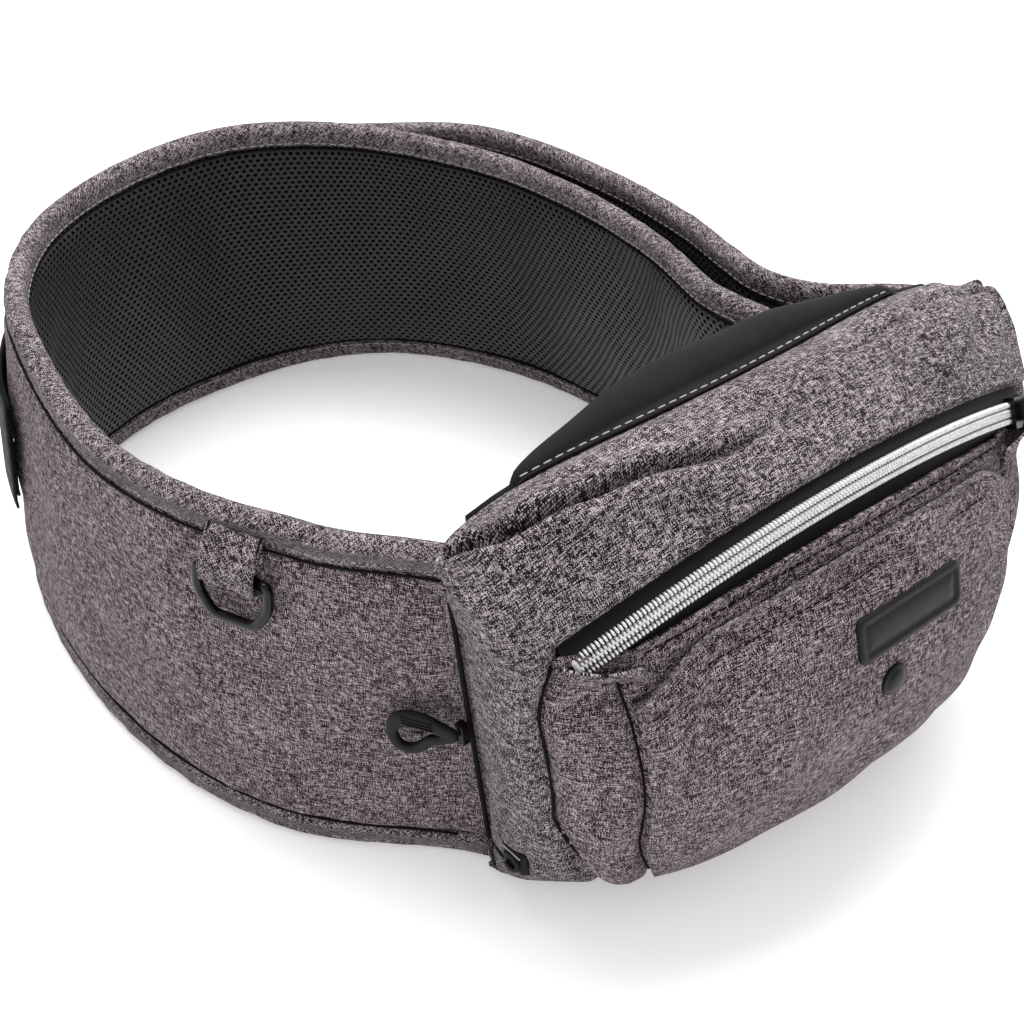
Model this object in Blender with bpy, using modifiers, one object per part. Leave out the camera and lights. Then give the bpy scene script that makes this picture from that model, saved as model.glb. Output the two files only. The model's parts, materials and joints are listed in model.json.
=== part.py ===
"""Hip seat carrier: a padded waist belt that closes at the back and holds a foam seat with a zipped bag.

Metres, +Z up. The seat faces -Y, the wearer stands inside the belt's loop, and the belt stands on
its lower edge at z = 0. Shapes are worked out in the seat's own frame, whose X = 0 is the middle of
the seat, and everything hangs on one empty that carries that frame to the middle of the whole object.
"""

import math

import bmesh
import bpy
import numpy as np
from mathutils import Matrix, Vector

# ---------------------------------------------------------------- driving dimensions (metres)
GAP = 0.0003
SEAT_FRAME = (0.01350, 0.02270)

BELT_HEIGHT_FRONT = 0.1445
BELT_HEIGHT_BACK = 0.1340
LEFT_SIDE_DIP = 0.0095
BELT_EDGE_HALF = 0.0040
BELT_MIDDLE_HALF = 0.0068
BINDING_RADIUS = 0.0044
SHELL_THICK = 0.0012
LINING_THICK = 0.0028
WING_STEP = 0.0165
PATCH_STEP = 0.0100

# The middle line of the long left wing, from its seam at the seat round the back to its tail.
LEFT_WING_PLAN = [
    (-0.1065, -0.1370), (-0.1315, -0.0985), (-0.1500, -0.0550), (-0.1560, -0.0045),
    (-0.1500, 0.0505), (-0.1330, 0.1000), (-0.0980, 0.1380), (-0.0460, 0.1570),
    (0.0085, 0.1540), (0.0548, 0.1265), (0.0855, 0.0750), (0.0955, 0.0205),
    (0.0890, -0.0340), (0.0750, -0.0770), (0.0630, -0.1080),
]
WING_OVERLAP_OFFSET = 0.0193
RIGHT_WING_TIP_X = 0.040
RIGHT_TIP_DROP = 0.0090
RIGHT_HINGE = (0.1185, -0.1360)
RIGHT_WING_LEAVES_Y = -0.040
RIGHT_SEAM_PLAN = [(0.0990, -0.0700), (0.0925, -0.1030), (0.1050, -0.1368)]

LEAN_LEFT = 0.0040
LEAN_RIGHT = 0.0195
LEAN_AT_SEAT = -0.0065

SEAT_BACK_Y = -0.1390
SEAT_HALF_WIDTH_BOTTOM = 0.1010
SEAT_HALF_WIDTH_TOP = 0.1190
SEAT_SIDE_HEIGHT = 0.1440
COVER_THICK = 0.0015
BAG_SIDE_SEAM = 0.78

# Lines across the seat, from the back of its underside round the front to the back of its top:
# (depth and height at the middle, depth and height at the sides, how late its depth and its height
# change on the way to the sides).
SEAT_LINES = {
    "bottom_back": (0.000, 0.0050, 0.000, 0.0060, 4, 2),
    "bottom": (0.038, 0.0040, 0.018, 0.0065, 4, 2),
    "bottom_front": (0.060, 0.0140, 0.030, 0.0170, 4, 2),
    "low_front": (0.074, 0.0380, 0.038, 0.0380, 3.2, 2),
    "belly": (0.081, 0.0720, 0.042, 0.0650, 3, 2),
    "chest": (0.077, 0.1050, 0.042, 0.0880, 2.6, 2),
    "mouth": (0.0655, 0.1290, 0.042, 0.1050, 2.2, 2),
    "zip": (0.0550, 0.1470, 0.041, 0.1210, 2.2, 2),
    "platform": (0.0390, 0.1600, 0.030, 0.1350, 2.2, 2.5),
    "roll": (0.0280, 0.1650, 0.018, 0.1450, 2.2, 3.5),
    "strip_edge": (0.0170, 0.1640, 0.009, 0.1470, 2.2, 4.5),
    "top_back": (0.000, 0.1560, 0.000, 0.1450, 2.2, 5),
}
LINE_INDEX = {name: i for i, name in enumerate(SEAT_LINES)}

# The foam wedge inside the cover, in the same order.
FOAM_LINES = [
    (0.0050, 0.0095, 0.0050, 0.0110, 4, 2), (0.0330, 0.0080, 0.0130, 0.0115, 4, 2),
    (0.0430, 0.0170, 0.0225, 0.0220, 4, 2), (0.0480, 0.0600, 0.0300, 0.0550, 3, 2),
    (0.0470, 0.1150, 0.0310, 0.0950, 2.4, 2), (0.0440, 0.1350, 0.0300, 0.1120, 2.2, 2),
    (0.0350, 0.1520, 0.0240, 0.1280, 2.2, 2.5), (0.0230, 0.1585, 0.0150, 0.1370, 2.2, 3.5),
    (0.0120, 0.1565, 0.0090, 0.1380, 2.2, 4.5), (0.0050, 0.1480, 0.0050, 0.1370, 2.2, 5),
]

ZIP_HALF_CHORD = 0.1050
ZIP_RISE = 0.0220
ZIP_BULGE = 0.0100
ZIP_END = (-0.1835, 0.1250)
TAPE_WIDTH = 0.0085
TAPE_THICK = 0.0010
TEETH_WIDTH = 0.0033
TEETH_THICK = 0.0022
SLIDER_LENGTH = 0.013

RING_WIRE = 0.0019
RING_WIDTH = 0.0330
RING_DROP = 0.0255
TAB_WIDTH = 0.0245
TAB_HEIGHT = 0.0140
RING_ARC = 0.0730
RING_BAR_HEIGHT = 0.1130

STRAP_WIDTH = 0.0420
STRAP_THICK = 0.0014
STRAP_HEIGHT = 0.0790
RIGHT_STRAP_START = 0.098
STRAP_START_Y = 0.066
STRAP_CLEAR = 0.0083
STRAP_TAIL_GAP = 0.0055
UPRIGHT_RUN = 0.0400
STRAP_KEEPER_BACK = 0.0620
BUCKLE_FROM_TIP = 0.1000
SOCKET_LENGTH = 0.0300
BUCKLE_WIDTH = 0.0500
BUCKLE_THICK = 0.0110
BUCKLE_WALL = 0.0024
MALE_LENGTH = 0.0150
PRONG_REACH = 0.0210

SIDE_U = 0.985
SIDE_ZIP_SPAN = (0.0150, 0.1300)
SIDE_ZIP_Y = -0.1452
SIDE_SLIDER_OUT = 0.0033
PULLER_TURN = 31.0
BOTTOM_TAB = (-0.1580, 0.0170)

HEATHER = ("heather_cloth", (0.235, 0.200, 0.205, 1), 0.92, 0.0)
BINDING = ("bias_binding", (0.300, 0.262, 0.265, 1), 0.92, 0.0)
MESH = ("spacer_mesh", (0.012, 0.012, 0.013, 1), 0.80, 0.0)
FOAM = ("foam", (0.60, 0.60, 0.58, 1), 0.90, 0.0)
BLACK_CLOTH = ("black_cloth", (0.016, 0.016, 0.017, 1), 0.70, 0.0)
WEBBING = ("black_webbing", (0.014, 0.014, 0.015, 1), 0.75, 0.0)
PLASTIC = ("black_plastic", (0.015, 0.015, 0.016, 1), 0.35, 0.0)
BOARD = ("stiff_board", (0.55, 0.56, 0.56, 1), 0.55, 0.0)
SILVER = ("silver_zip", (0.86, 0.86, 0.87, 1), 0.35, 0.6)
LEATHER = ("black_leather", (0.018, 0.017, 0.017, 1), 0.45, 0.0)
METAL = ("black_metal", (0.020, 0.020, 0.022, 1), 0.25, 0.8)


# ---------------------------------------------------------------- scene and small helpers
def clear_scene():
    for item in list(bpy.data.objects):
        bpy.data.objects.remove(item, do_unlink=True)


def new_collection(name):
    group = bpy.data.collections.new(name)
    bpy.context.scene.collection.children.link(group)
    return group


def material(look):
    name, colour, roughness, metallic = look
    found = bpy.data.materials.get(name)
    if found:
        return found
    made = bpy.data.materials.new(name)
    made.use_nodes = True
    shader = made.node_tree.nodes["Principled BSDF"]
    shader.inputs["Base Color"].default_value = colour
    shader.inputs["Roughness"].default_value = roughness
    shader.inputs["Metallic"].default_value = metallic
    return made


def place(name, data, look, parent, matrix=None):
    """One sub-part: an object with its own material, hung on a parent empty."""
    part = bpy.data.objects.new(name, data)
    data.materials.clear()
    data.materials.append(material(look))
    PARTS.objects.link(part)
    part.parent = parent
    part.matrix_local = matrix or Matrix.Identity(4)
    return part


def empty(name, parent, matrix):
    marker = bpy.data.objects.new(name, None)
    PARTS.objects.link(marker)
    marker.parent = parent
    marker.matrix_local = matrix
    return marker


def mesh_from(bm, name):
    bmesh.ops.recalc_face_normals(bm, faces=bm.faces)
    mesh = bpy.data.meshes.new(name)
    bm.to_mesh(mesh)
    bm.free()
    return mesh


def smoothstep(low, high, value):
    t = min(max((value - low) / (high - low), 0.0), 1.0)
    return t * t * (3 - 2 * t)


def frame_matrix(origin, x_axis, z_axis):
    """A right-handed frame at origin with its X along x_axis and its Z as near z_axis as it can be."""
    x = Vector(x_axis).normalized()
    y = Vector(z_axis).cross(x).normalized()
    z = x.cross(y)
    matrix = Matrix((x, y, z)).transposed().to_4x4()
    matrix.translation = Vector(origin)
    return matrix


def catmull(points, t):
    """A smooth curve through points, at t from 0 to len(points) - 1."""
    i = min(int(t), len(points) - 2)
    f = t - i
    p1 = points[i]
    p2 = points[i + 1]
    p0 = points[i - 1] if i > 0 else 2 * p1 - p2
    p3 = points[i + 2] if i + 2 < len(points) else 2 * p2 - p1
    return 0.5 * (2 * p1 + (p2 - p0) * f + (2 * p0 - 5 * p1 + 4 * p2 - p3) * f ** 2
                  + (3 * p1 - p0 - 3 * p2 + p3) * f ** 3)


# ---------------------------------------------------------------- belt paths
class Path:
    """A plan curve by arc length, with the outward direction on its left (side 1) or right (-1)."""

    def __init__(self, points, side, tip_drop=0.0):
        points = [np.array(p) for p in points]
        steps = np.linspace(0, len(points) - 1, 24 * (len(points) - 1) + 1)
        self.dense = np.array([catmull(points, t) for t in steps])
        runs = np.linalg.norm(np.diff(self.dense, axis=0), axis=1)
        self.arc = np.concatenate([[0.0], np.cumsum(runs)])
        self.length = float(self.arc[-1])
        self.side = side
        self.tip_drop = tip_drop

    def point(self, s):
        return np.array([np.interp(s, self.arc, self.dense[:, k]) for k in (0, 1)])

    def tangent(self, s):
        step = 0.004
        delta = self.point(min(s + step, self.length)) - self.point(max(s - step, 0.0))
        return delta / np.linalg.norm(delta)

    def outward(self, s):
        tx, ty = self.tangent(s)
        return self.side * np.array([-ty, tx])

    def arc_where(self, test):
        """The first arc length at which test(point) holds."""
        return next(float(a) for a, p in zip(self.arc, self.dense) if test(p))


def belt_height(path, s):
    """The belt is tallest at the seat, lower round the back and at a free tip, and dips on its left side."""
    x, y = path.point(s)
    drop = (BELT_HEIGHT_FRONT - BELT_HEIGHT_BACK) * smoothstep(-0.12, 0.04, y)
    if x < 0:
        drop += LEFT_SIDE_DIP * smoothstep(-0.137, -0.090, y) * (1 - smoothstep(-0.010, 0.090, y))
    return BELT_HEIGHT_FRONT - drop - path.tip_drop * smoothstep(path.length - 0.09, path.length, s)


def belt_lean(point):
    """How far the belt's lower edge stands outside its middle, and its upper edge inside."""
    lean = LEAN_LEFT + (LEAN_RIGHT - LEAN_LEFT) * smoothstep(-0.02, 0.09, point[0])
    return LEAN_AT_SEAT + (lean - LEAN_AT_SEAT) * smoothstep(-0.140, -0.080, point[1])


def belt_point(path, s, height, offset, lean_share=1.0):
    """A point of the belt: height is 0 at its lower edge and 1 at its upper edge."""
    middle = path.point(s)
    shift = offset + lean_share * belt_lean(middle) * (1 - 2 * height)
    x, y = middle + path.outward(s) * shift
    return Vector((x, y, belt_height(path, s) * height))


def belt_half(height):
    """Half the belt's thickness at a height: plump in the middle and thin at the bound edges."""
    return BELT_EDGE_HALF + (BELT_MIDDLE_HALF - BELT_EDGE_HALF) * math.sin(math.pi * height) ** 0.6


def left_path():
    return Path(LEFT_WING_PLAN, 1)


def right_path(left):
    """The short right wing: outside the left wing's tail, then on to its own seam at the seat."""
    tip = left.arc_where(lambda p: p[0] > RIGHT_WING_TIP_X and p[1] > 0)
    leaves = left.arc_where(lambda p: p[0] > 0 and p[1] < RIGHT_WING_LEAVES_Y)
    shared = [left.point(s) + left.outward(s) * WING_OVERLAP_OFFSET for s in np.linspace(tip, leaves, 14)]
    seam = [np.array(p) for p in reversed(RIGHT_SEAM_PLAN)]
    return Path(seam + shared[::-1], -1, RIGHT_TIP_DROP)


# ---------------------------------------------------------------- solids
def loft(name, rings, look, parent, matrix=None):
    """A closed solid through rings of equal count; every side folds from its lower to its upper corner."""
    bm = bmesh.new()
    loops = [[bm.verts.new(p) for p in ring] for ring in rings]
    for first, second in zip(loops, loops[1:]):
        for i in range(len(first)):
            j = (i + 1) % len(first)
            if first[i].co.z <= first[j].co.z:
                sides = ((first[i], first[j], second[j]), (first[i], second[j], second[i]))
            else:
                sides = ((first[i], first[j], second[i]), (first[j], second[j], second[i]))
            for side in sides:
                bm.faces.new(side)
    bm.faces.new(loops[0][::-1])
    bm.faces.new(loops[-1])
    return place(name, mesh_from(bm, name), look, parent, matrix)


def skin(name, surface, u_range, v_range, counts, lift, thick, look, parent, matrix=None):
    """A panel on a surface: its inner face is lift above the surface, and Solidify gives the thickness."""
    bm = bmesh.new()
    bmesh.ops.create_grid(bm, x_segments=counts[0], y_segments=counts[1], size=1.0)
    step = 1e-3
    for vert in bm.verts:
        u = u_range[0] + (u_range[1] - u_range[0]) * (vert.co.x + 1) / 2
        low, high = (v(u) if callable(v) else v for v in v_range)
        v = low + (high - low) * (vert.co.y + 1) / 2
        here = surface(u, v)
        across = surface(u + step, v) - surface(u - step, v)
        along = surface(u, v + step) - surface(u, v - step)
        vert.co = here + across.cross(along).normalized() * (lift + thick)
    mesh = bpy.data.meshes.new(name)
    bm.normal_update()
    bm.to_mesh(mesh)
    bm.free()
    part = place(name, mesh, look, parent, matrix)
    solid = part.modifiers.new("thickness", "SOLIDIFY")
    solid.thickness = thick
    solid.offset = -1
    return part


def rounded_box(name, size, bevel, look, parent, matrix, centre=(0, 0, 0)):
    bm = bmesh.new()
    bmesh.ops.create_cube(bm, size=1.0, matrix=Matrix.Translation(centre) @ Matrix.Diagonal((*size, 1)))
    part = place(name, mesh_from(bm, name), look, parent, matrix)
    edge = part.modifiers.new("edge", "BEVEL")
    edge.width = bevel
    edge.segments = 2
    return part


def outline_plate(name, points, thick, bevel, look, parent, matrix):
    """A flat plate of a closed outline, lying in its own XZ plane with its thickness along Y."""
    curve = bpy.data.curves.new(name, "CURVE")
    curve.dimensions = "2D"
    curve.fill_mode = "BOTH"
    curve.extrude = thick / 2 - bevel
    curve.bevel_depth = bevel
    curve.bevel_resolution = 0
    for outline in points:
        line = curve.splines.new("POLY")
        line.points.add(len(outline) - 1)
        for target, (x, y) in zip(line.points, outline):
            target.co = (x, y, 0, 1)
        line.use_cyclic_u = True
    upright = matrix @ Matrix.Rotation(math.pi / 2, 4, "X")
    return place(name, curve, look, parent, upright)


def tube(name, points, radius, look, parent, closed=False, matrix=None):
    curve = bpy.data.curves.new(name, "CURVE")
    curve.dimensions = "3D"
    curve.bevel_depth = radius
    curve.bevel_resolution = 2
    curve.use_fill_caps = not closed
    line = curve.splines.new("POLY")
    line.points.add(len(points) - 1)
    for target, p in zip(line.points, points):
        target.co = (*p, 1)
    line.use_cyclic_u = closed
    return place(name, curve, look, parent, matrix)


# ---------------------------------------------------------------- belt wings
def layer_rings(path, start, end, inner, outer, margin):
    """Rings for one layer of the belt; inner and outer give its faces as a function of height."""
    count = max(int(round((end - start) / WING_STEP)), 2)
    heights = np.linspace(0, 1, 5)
    rings = []
    for s in np.linspace(start, end, count + 1):
        tall = belt_height(path, s)
        low = margin / tall
        steps = [low + (1 - 2 * low) * h for h in heights]
        face = [belt_point(path, s, h, outer(h)) for h in steps]
        back = [belt_point(path, s, h, inner(h)) for h in reversed(steps)]
        rings.append(face + back)
    return rings


def binding(name, path, start, end, height, parent):
    """The bound edge: a plump roll along the belt's upper or lower edge."""
    count = max(int(round((end - start) / (WING_STEP * 0.8))), 2)
    points = []
    for s in np.linspace(start, end, count + 1):
        tall = belt_height(path, s)
        inset = BINDING_RADIUS / tall
        points.append(belt_point(path, s, inset if height == 0 else 1 - inset, 0.0))
    return tube(name, points, BINDING_RADIUS, BINDING, parent)


def wing(side, path, start, end, parent):
    """Outer cloth, foam pad, spacer-mesh lining and two bound edges."""
    margin = 2 * BINDING_RADIUS + 3 * GAP
    edge = (start + 0.0008, end - 0.0008)
    layers = {
        "outer_shell": (lambda h: belt_half(h) - SHELL_THICK, belt_half, HEATHER),
        "foam_pad": (lambda h: LINING_THICK + GAP - belt_half(h),
                     lambda h: belt_half(h) - SHELL_THICK - GAP, FOAM),
        "mesh_lining": (lambda h: -belt_half(h), lambda h: LINING_THICK - belt_half(h), MESH),
    }
    for layer, (inner, outer, look) in layers.items():
        loft(f"{side}_wing_{layer}", layer_rings(path, *edge, inner, outer, margin), look, parent)
    binding(f"{side}_wing_top_binding", path, start, end, 1, parent)
    binding(f"{side}_wing_bottom_binding", path, start, end, 0, parent)


def belt_patch(name, path, start, end, low, high, offset, thick, look, parent, upright_at=None):
    """A flat band along the belt between two heights; it can stand upright at one arc length."""
    count = max(int(round((end - start) / PATCH_STEP)), 2)
    rings = []
    for s in np.linspace(start, end, count + 1):
        tall = belt_height(path, s)
        share = 1.0 if upright_at is None else smoothstep(0.0, UPRIGHT_RUN, abs(s - upright_at))
        ring = [belt_point(path, s, z / tall, o, share) for z, o in
                ((low, offset), (high, offset), (high, offset + thick), (low, offset + thick))]
        rings.append(ring)
    return loft(name, rings, look, parent)


# ---------------------------------------------------------------- D-rings on their tabs
def round_corners(points, radii, pieces=4):
    """Cut each corner of a closed outline back by its radius and join the cuts with a curve."""
    result = []
    count = len(points)
    for i, radius in enumerate(radii):
        here = np.array(points[i], dtype=float)
        before = np.array(points[i - 1]) - here
        after = np.array(points[(i + 1) % count]) - here
        start = here + before / np.linalg.norm(before) * radius
        end = here + after / np.linalg.norm(after) * radius
        for t in np.linspace(0, 1, pieces):
            result.append((1 - t) ** 2 * start + 2 * t * (1 - t) * here + t ** 2 * end)
    return result


def ring_outline():
    """A rounded shield: a straight bar on top, upright sides, and a foot cut back at both corners."""
    half = RING_WIDTH / 2 - RING_WIRE
    foot = half * 0.60
    low = 2 * RING_WIRE - RING_DROP
    corners = [(-half, 0.0), (-half, low * 0.52), (-foot, low), (foot, low), (half, low * 0.52), (half, 0.0)]
    return round_corners(corners, [0.0025, 0.005, 0.0055, 0.0055, 0.005, 0.0025])


def belt_frame(path, arc, z, offset):
    """A frame on the belt's face: X along the belt, Z up its slope, Y out of its face or into it."""
    height = z / belt_height(path, arc)
    spot = belt_point(path, arc, height, offset)
    slope = belt_point(path, arc, height + 0.1, 0) - belt_point(path, arc, height - 0.1, 0)
    return frame_matrix(spot, Vector((*path.tangent(arc), 0)), slope)


def ring_and_tab(side, path, arc, parent):
    """A wire ring that hangs from a folded cloth tab sewn under the belt's upper binding."""
    share = RING_BAR_HEIGHT / belt_height(path, arc)
    frame = belt_frame(path, arc, RING_BAR_HEIGHT, belt_half(share) + RING_WIRE + 0.0021)
    hinge = empty(f"{side}_ring_hinge", parent, frame)
    tube(f"{side}_d_ring", [(x, 0, z) for x, z in ring_outline()], RING_WIRE, METAL, hinge, closed=True)
    wrap = RING_WIRE + 0.0005
    lap = [(math.cos(a) * wrap, math.sin(a) * wrap) for a in np.linspace(0.35, -math.pi - 0.35, 7)]
    profile = [(0.0008, TAB_HEIGHT), (0.0008, 0.0055)] + lap + [(-0.0008, 0.0055), (-0.0008, TAB_HEIGHT)]
    tab_frame = empty(f"{side}_ring_tab_frame", parent, frame)

    def leaf(u, v):
        at = v * (len(profile) - 1)
        i = min(int(at), len(profile) - 2)
        y, z = (profile[i][k] + (profile[i + 1][k] - profile[i][k]) * (at - i) for k in (0, 1))
        return Vector((u * TAB_WIDTH / 2, y, z))
    skin(f"{side}_ring_tab", leaf, (-1, 1), (0, 1), (1, len(profile) - 1), 0.0, 0.0009, BINDING, tab_frame)
    return hinge


# ---------------------------------------------------------------- safety strap and buckle
def buckle_box(name, along, height, thick, bevel, frame, parent, look=PLASTIC):
    """A block of the buckle: spans along the strap, up it, and out from the belt, in the buckle frame."""
    size = [b - a for a, b in (along, thick, height)]
    centre = [(a + b) / 2 for a, b in (along, thick, height)]
    return rounded_box(name, size, bevel, look, parent, frame, centre)


def strap_band(name, path, start, end, offset, parent, upright_at=None):
    low = STRAP_HEIGHT - STRAP_WIDTH / 2
    high = low + STRAP_WIDTH
    return belt_patch(name, path, start, end, low, high, offset, STRAP_THICK, WEBBING, parent, upright_at)


def build_strap(left, right, root, wing_frame):
    """A wide webbing strap round the outside of the belt, joined by a side-release buckle.

    Past the right wing's tip the strap is free to bend, so its tail turns there with the clasp.
    """
    tip = left.arc_where(lambda p: p[0] > RIGHT_WING_TIP_X and p[1] > 0)
    arc = tip - BUCKLE_FROM_TIP
    out = BUCKLE_THICK / 2 + STRAP_CLEAR + 0.0006
    frame = belt_frame(left, arc, STRAP_HEIGHT, out)
    end = right.point(right.length) + right.outward(right.length) * STRAP_CLEAR
    pivot = Matrix.Translation((*(end + right.tangent(right.length) * STRAP_TAIL_GAP), STRAP_HEIGHT))
    tail_hinge = empty("strap_tail_hinge", wing_frame, pivot)
    tail_frame = empty("strap_tail_frame", tail_hinge, pivot.inverted())
    half_thick = BUCKLE_THICK / 2
    half_wide = BUCKLE_WIDTH / 2
    mouth = 0.0090

    socket = buckle_box("buckle_socket", (mouth - SOCKET_LENGTH, mouth), (-half_wide, half_wide),
                        (-half_thick, half_thick), 0.0012, frame, root)
    inner = half_wide - BUCKLE_WALL
    deep = half_thick - BUCKLE_WALL
    cut(socket, "socket_hollow", (mouth - SOCKET_LENGTH + 0.0050, mouth + 0.01), (-inner, inner),
        (-deep, deep), frame, root)
    for sign, end in ((1, "upper"), (-1, "lower")):
        span = sorted((sign * (inner - 0.001), sign * (half_wide + 0.01)))
        reach = (mouth - 0.0200, mouth + 0.0100)
        cut(socket, f"socket_window_{end}", reach, span, (-deep, deep), frame, root)

    start = mouth + GAP
    clasp = buckle_box("buckle_clasp", (start, start + MALE_LENGTH), (-half_wide, half_wide),
                       (-half_thick, half_thick), 0.0012, frame, tail_frame)
    tongue = buckle_box("clasp_tongue", (start - PRONG_REACH, start + 0.004), (-0.0075, 0.0075),
                        (-0.0020, 0.0020), 0.0006, frame, tail_frame)
    join(clasp, tongue)
    for sign, end in ((1, "upper"), (-1, "lower")):
        span = sorted((sign * (inner - 0.0100), sign * (inner - 0.0026)))
        prong = buckle_box(f"{end}_release_prong", (start - PRONG_REACH, start - GAP), span,
                           (-0.0022, 0.0022), 0.0006, frame, tail_frame)
        button = buckle_box(f"{end}_button", (mouth - 0.0185, mouth - 0.0085),
                            sorted((sign * (inner - 0.004), sign * (half_wide - 0.0004))),
                            (-0.0022, 0.0022), 0.0006, frame, tail_frame)
        join(prong, button)

    first = left.arc_where(lambda p: p[1] > STRAP_START_Y and p[0] < 0)
    gap_arc = GAP + 0.0012
    strap_band("left_strap", left, first, arc + mouth - SOCKET_LENGTH - gap_arc, STRAP_CLEAR, root)
    belt_patch("left_strap_anchor", left, first - 0.004, first + 0.034, STRAP_HEIGHT - 0.0235,
               STRAP_HEIGHT + 0.0235, STRAP_CLEAR + STRAP_THICK + GAP, 0.0012, WEBBING, root)

    over = np.linspace(RIGHT_STRAP_START, right.length, 8)
    outside = [right.point(s) + right.outward(s) * STRAP_CLEAR for s in over]
    bend = outside[-1] + right.tangent(right.length) * STRAP_TAIL_GAP
    beyond = arc + mouth + MALE_LENGTH + gap_arc
    landing = [left.point(s) + left.outward(s) * (STRAP_CLEAR + lift) for s, lift in
               ((beyond + (tip - beyond) * 0.30, 0.0030), (beyond, 0.0012))]
    route = Path(outside + [bend] + landing, -1)
    fold = next(float(a) for a, p in zip(route.arc, route.dense) if np.linalg.norm(p - bend) < 1e-6)
    strap_band("right_strap", route, 0.0, fold - 0.0004, 0.0, wing_frame, fold)
    strap_band("strap_tail", route, fold + 0.0004, route.length, 0.0, tail_frame, fold)
    belt_patch("right_strap_anchor", route, 0.0005, 0.034, STRAP_HEIGHT - 0.0235, STRAP_HEIGHT + 0.0235,
               STRAP_THICK + 0.0006, 0.0012, WEBBING, wing_frame)
    keeper = fold - STRAP_KEEPER_BACK
    belt_patch("strap_keeper", route, keeper, keeper + 0.018, STRAP_HEIGHT - 0.0225, STRAP_HEIGHT + 0.0225,
               STRAP_THICK + 0.0006, 0.0012, BLACK_CLOTH, wing_frame)


def cut(part, name, along, height, thick, frame, parent):
    """Cut a box out of a part, in the buckle frame, with an exact Boolean."""
    size = [b - a for a, b in (along, thick, height)]
    centre = [(a + b) / 2 for a, b in (along, thick, height)]
    bm = bmesh.new()
    bmesh.ops.create_cube(bm, size=1.0, matrix=Matrix.Translation(centre) @ Matrix.Diagonal((*size, 1)))
    cutter = place(name, mesh_from(bm, name), PLASTIC, parent, frame)
    PARTS.objects.unlink(cutter)
    CUTTERS.objects.link(cutter)
    cutter.hide_render = True
    cutter.display_type = "WIRE"
    hole = part.modifiers.new(name, "BOOLEAN")
    hole.operation = "DIFFERENCE"
    hole.object = cutter


def join(part, other):
    """Weld another body onto a part with an exact Boolean."""
    PARTS.objects.unlink(other)
    CUTTERS.objects.link(other)
    other.hide_render = True
    other.display_type = "WIRE"
    weld = part.modifiers.new("join", "BOOLEAN")
    weld.operation = "UNION"
    weld.object = other


# ---------------------------------------------------------------- hook-and-loop closure and trims
def build_closure(left, right, root, wing_frame):
    """Loop patch on the left wing's tail, hook patch inside the right wing's tip."""
    tip = left.arc_where(lambda p: p[0] > RIGHT_WING_TIP_X and p[1] > 0)
    outside = BELT_MIDDLE_HALF + 0.0009
    belt_patch("loop_patch", left, tip + 0.014, tip + 0.150, 0.022, 0.090, outside, 0.0008, BLACK_CLOTH, root)
    belt_patch("hook_patch", right, right.length - 0.110, right.length - 0.014, 0.024, 0.088,
               -outside - 0.0008, 0.0008, BLACK_CLOTH, wing_frame)
    belt_patch("right_seam_tab", right, 0.020, 0.040, 0.096, 0.139, BELT_MIDDLE_HALF + 0.0010, 0.0013,
               WEBBING, wing_frame)


# ---------------------------------------------------------------- seat surface
def line_point(line, u):
    depth_mid, height_mid, depth_side, height_side, depth_power, height_power = line
    q = min(abs(u), 1.0)
    depth = depth_mid + (depth_side - depth_mid) * q ** depth_power
    height = height_mid + (height_side - height_mid) * q ** height_power
    return np.array([depth, height])


def seat_half_width(z):
    return SEAT_HALF_WIDTH_BOTTOM + (SEAT_HALF_WIDTH_TOP - SEAT_HALF_WIDTH_BOTTOM) * z / SEAT_SIDE_HEIGHT


def seat_point(lines, u, v):
    """A point of the seat: u runs from its left side (-1) to its right (1), v over the lines."""
    rows = [line_point(line, u) for line in lines]
    depth, height = catmull(rows, min(max(v, 0.0), len(rows) - 1.0))
    return Vector((u * seat_half_width(height), SEAT_BACK_Y - depth, height))


def cover(u, v):
    return seat_point(list(SEAT_LINES.values()), u, v)


def line_at(name, shift=0.0):
    return LINE_INDEX[name] + shift


def build_seat(root):
    """The foam wedge, its stiff plate, and the cloth panels that wrap it and form the bag."""
    foam_rings = []
    count = len(FOAM_LINES)
    for u in np.linspace(-0.955, 0.955, 15):
        foam_rings.append([seat_point(FOAM_LINES, u, v) for v in np.linspace(0, count - 1, 2 * count - 1)])
    loft("seat_foam_core", foam_rings, FOAM, root)

    zip_low = line_at("zip", -0.62)
    zip_high = line_at("zip", 0.62)
    skin("seat_top_cover", cover, (-SIDE_U, SIDE_U), (zip_high, line_at("strip_edge", -0.05)),
         (26, 7), 0.0, COVER_THICK, HEATHER, root)
    skin("body_side_strip", cover, (-0.75, 0.75), (line_at("strip_edge", 0.05), line_at("top_back")),
         (20, 3), 0.0, COVER_THICK, BLACK_CLOTH, root)
    underside = (line_at("bottom_back", 0.14), line_at("bottom", 0.10))
    skin("seat_bottom_panel", cover, (-SIDE_U, SIDE_U), underside, (18, 3), 0.0, COVER_THICK, HEATHER, root)
    skin("bag_back_panel", bag_back, (-0.88, 0.88), (0.0, 1.0), (14, 4), 0.0, COVER_THICK, BLACK_CLOTH, root)
    bag = (line_at("bottom", 0.16), zip_low)
    skin("bag_front_panel", cover, (-BAG_SIDE_SEAM, BAG_SIDE_SEAM), bag, (18, 10), -0.0012,
         COVER_THICK, HEATHER, root)
    for side, name in ((-1, "left"), (1, "right")):
        span = sorted((side * (BAG_SIDE_SEAM + 0.008), side * SIDE_U))
        skin(f"{name}_bag_gusset", cover, span, bag, (4, 10), 0.0, COVER_THICK, HEATHER, root)
        side_panel(name, side, root)
    back_panel(root)


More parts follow.
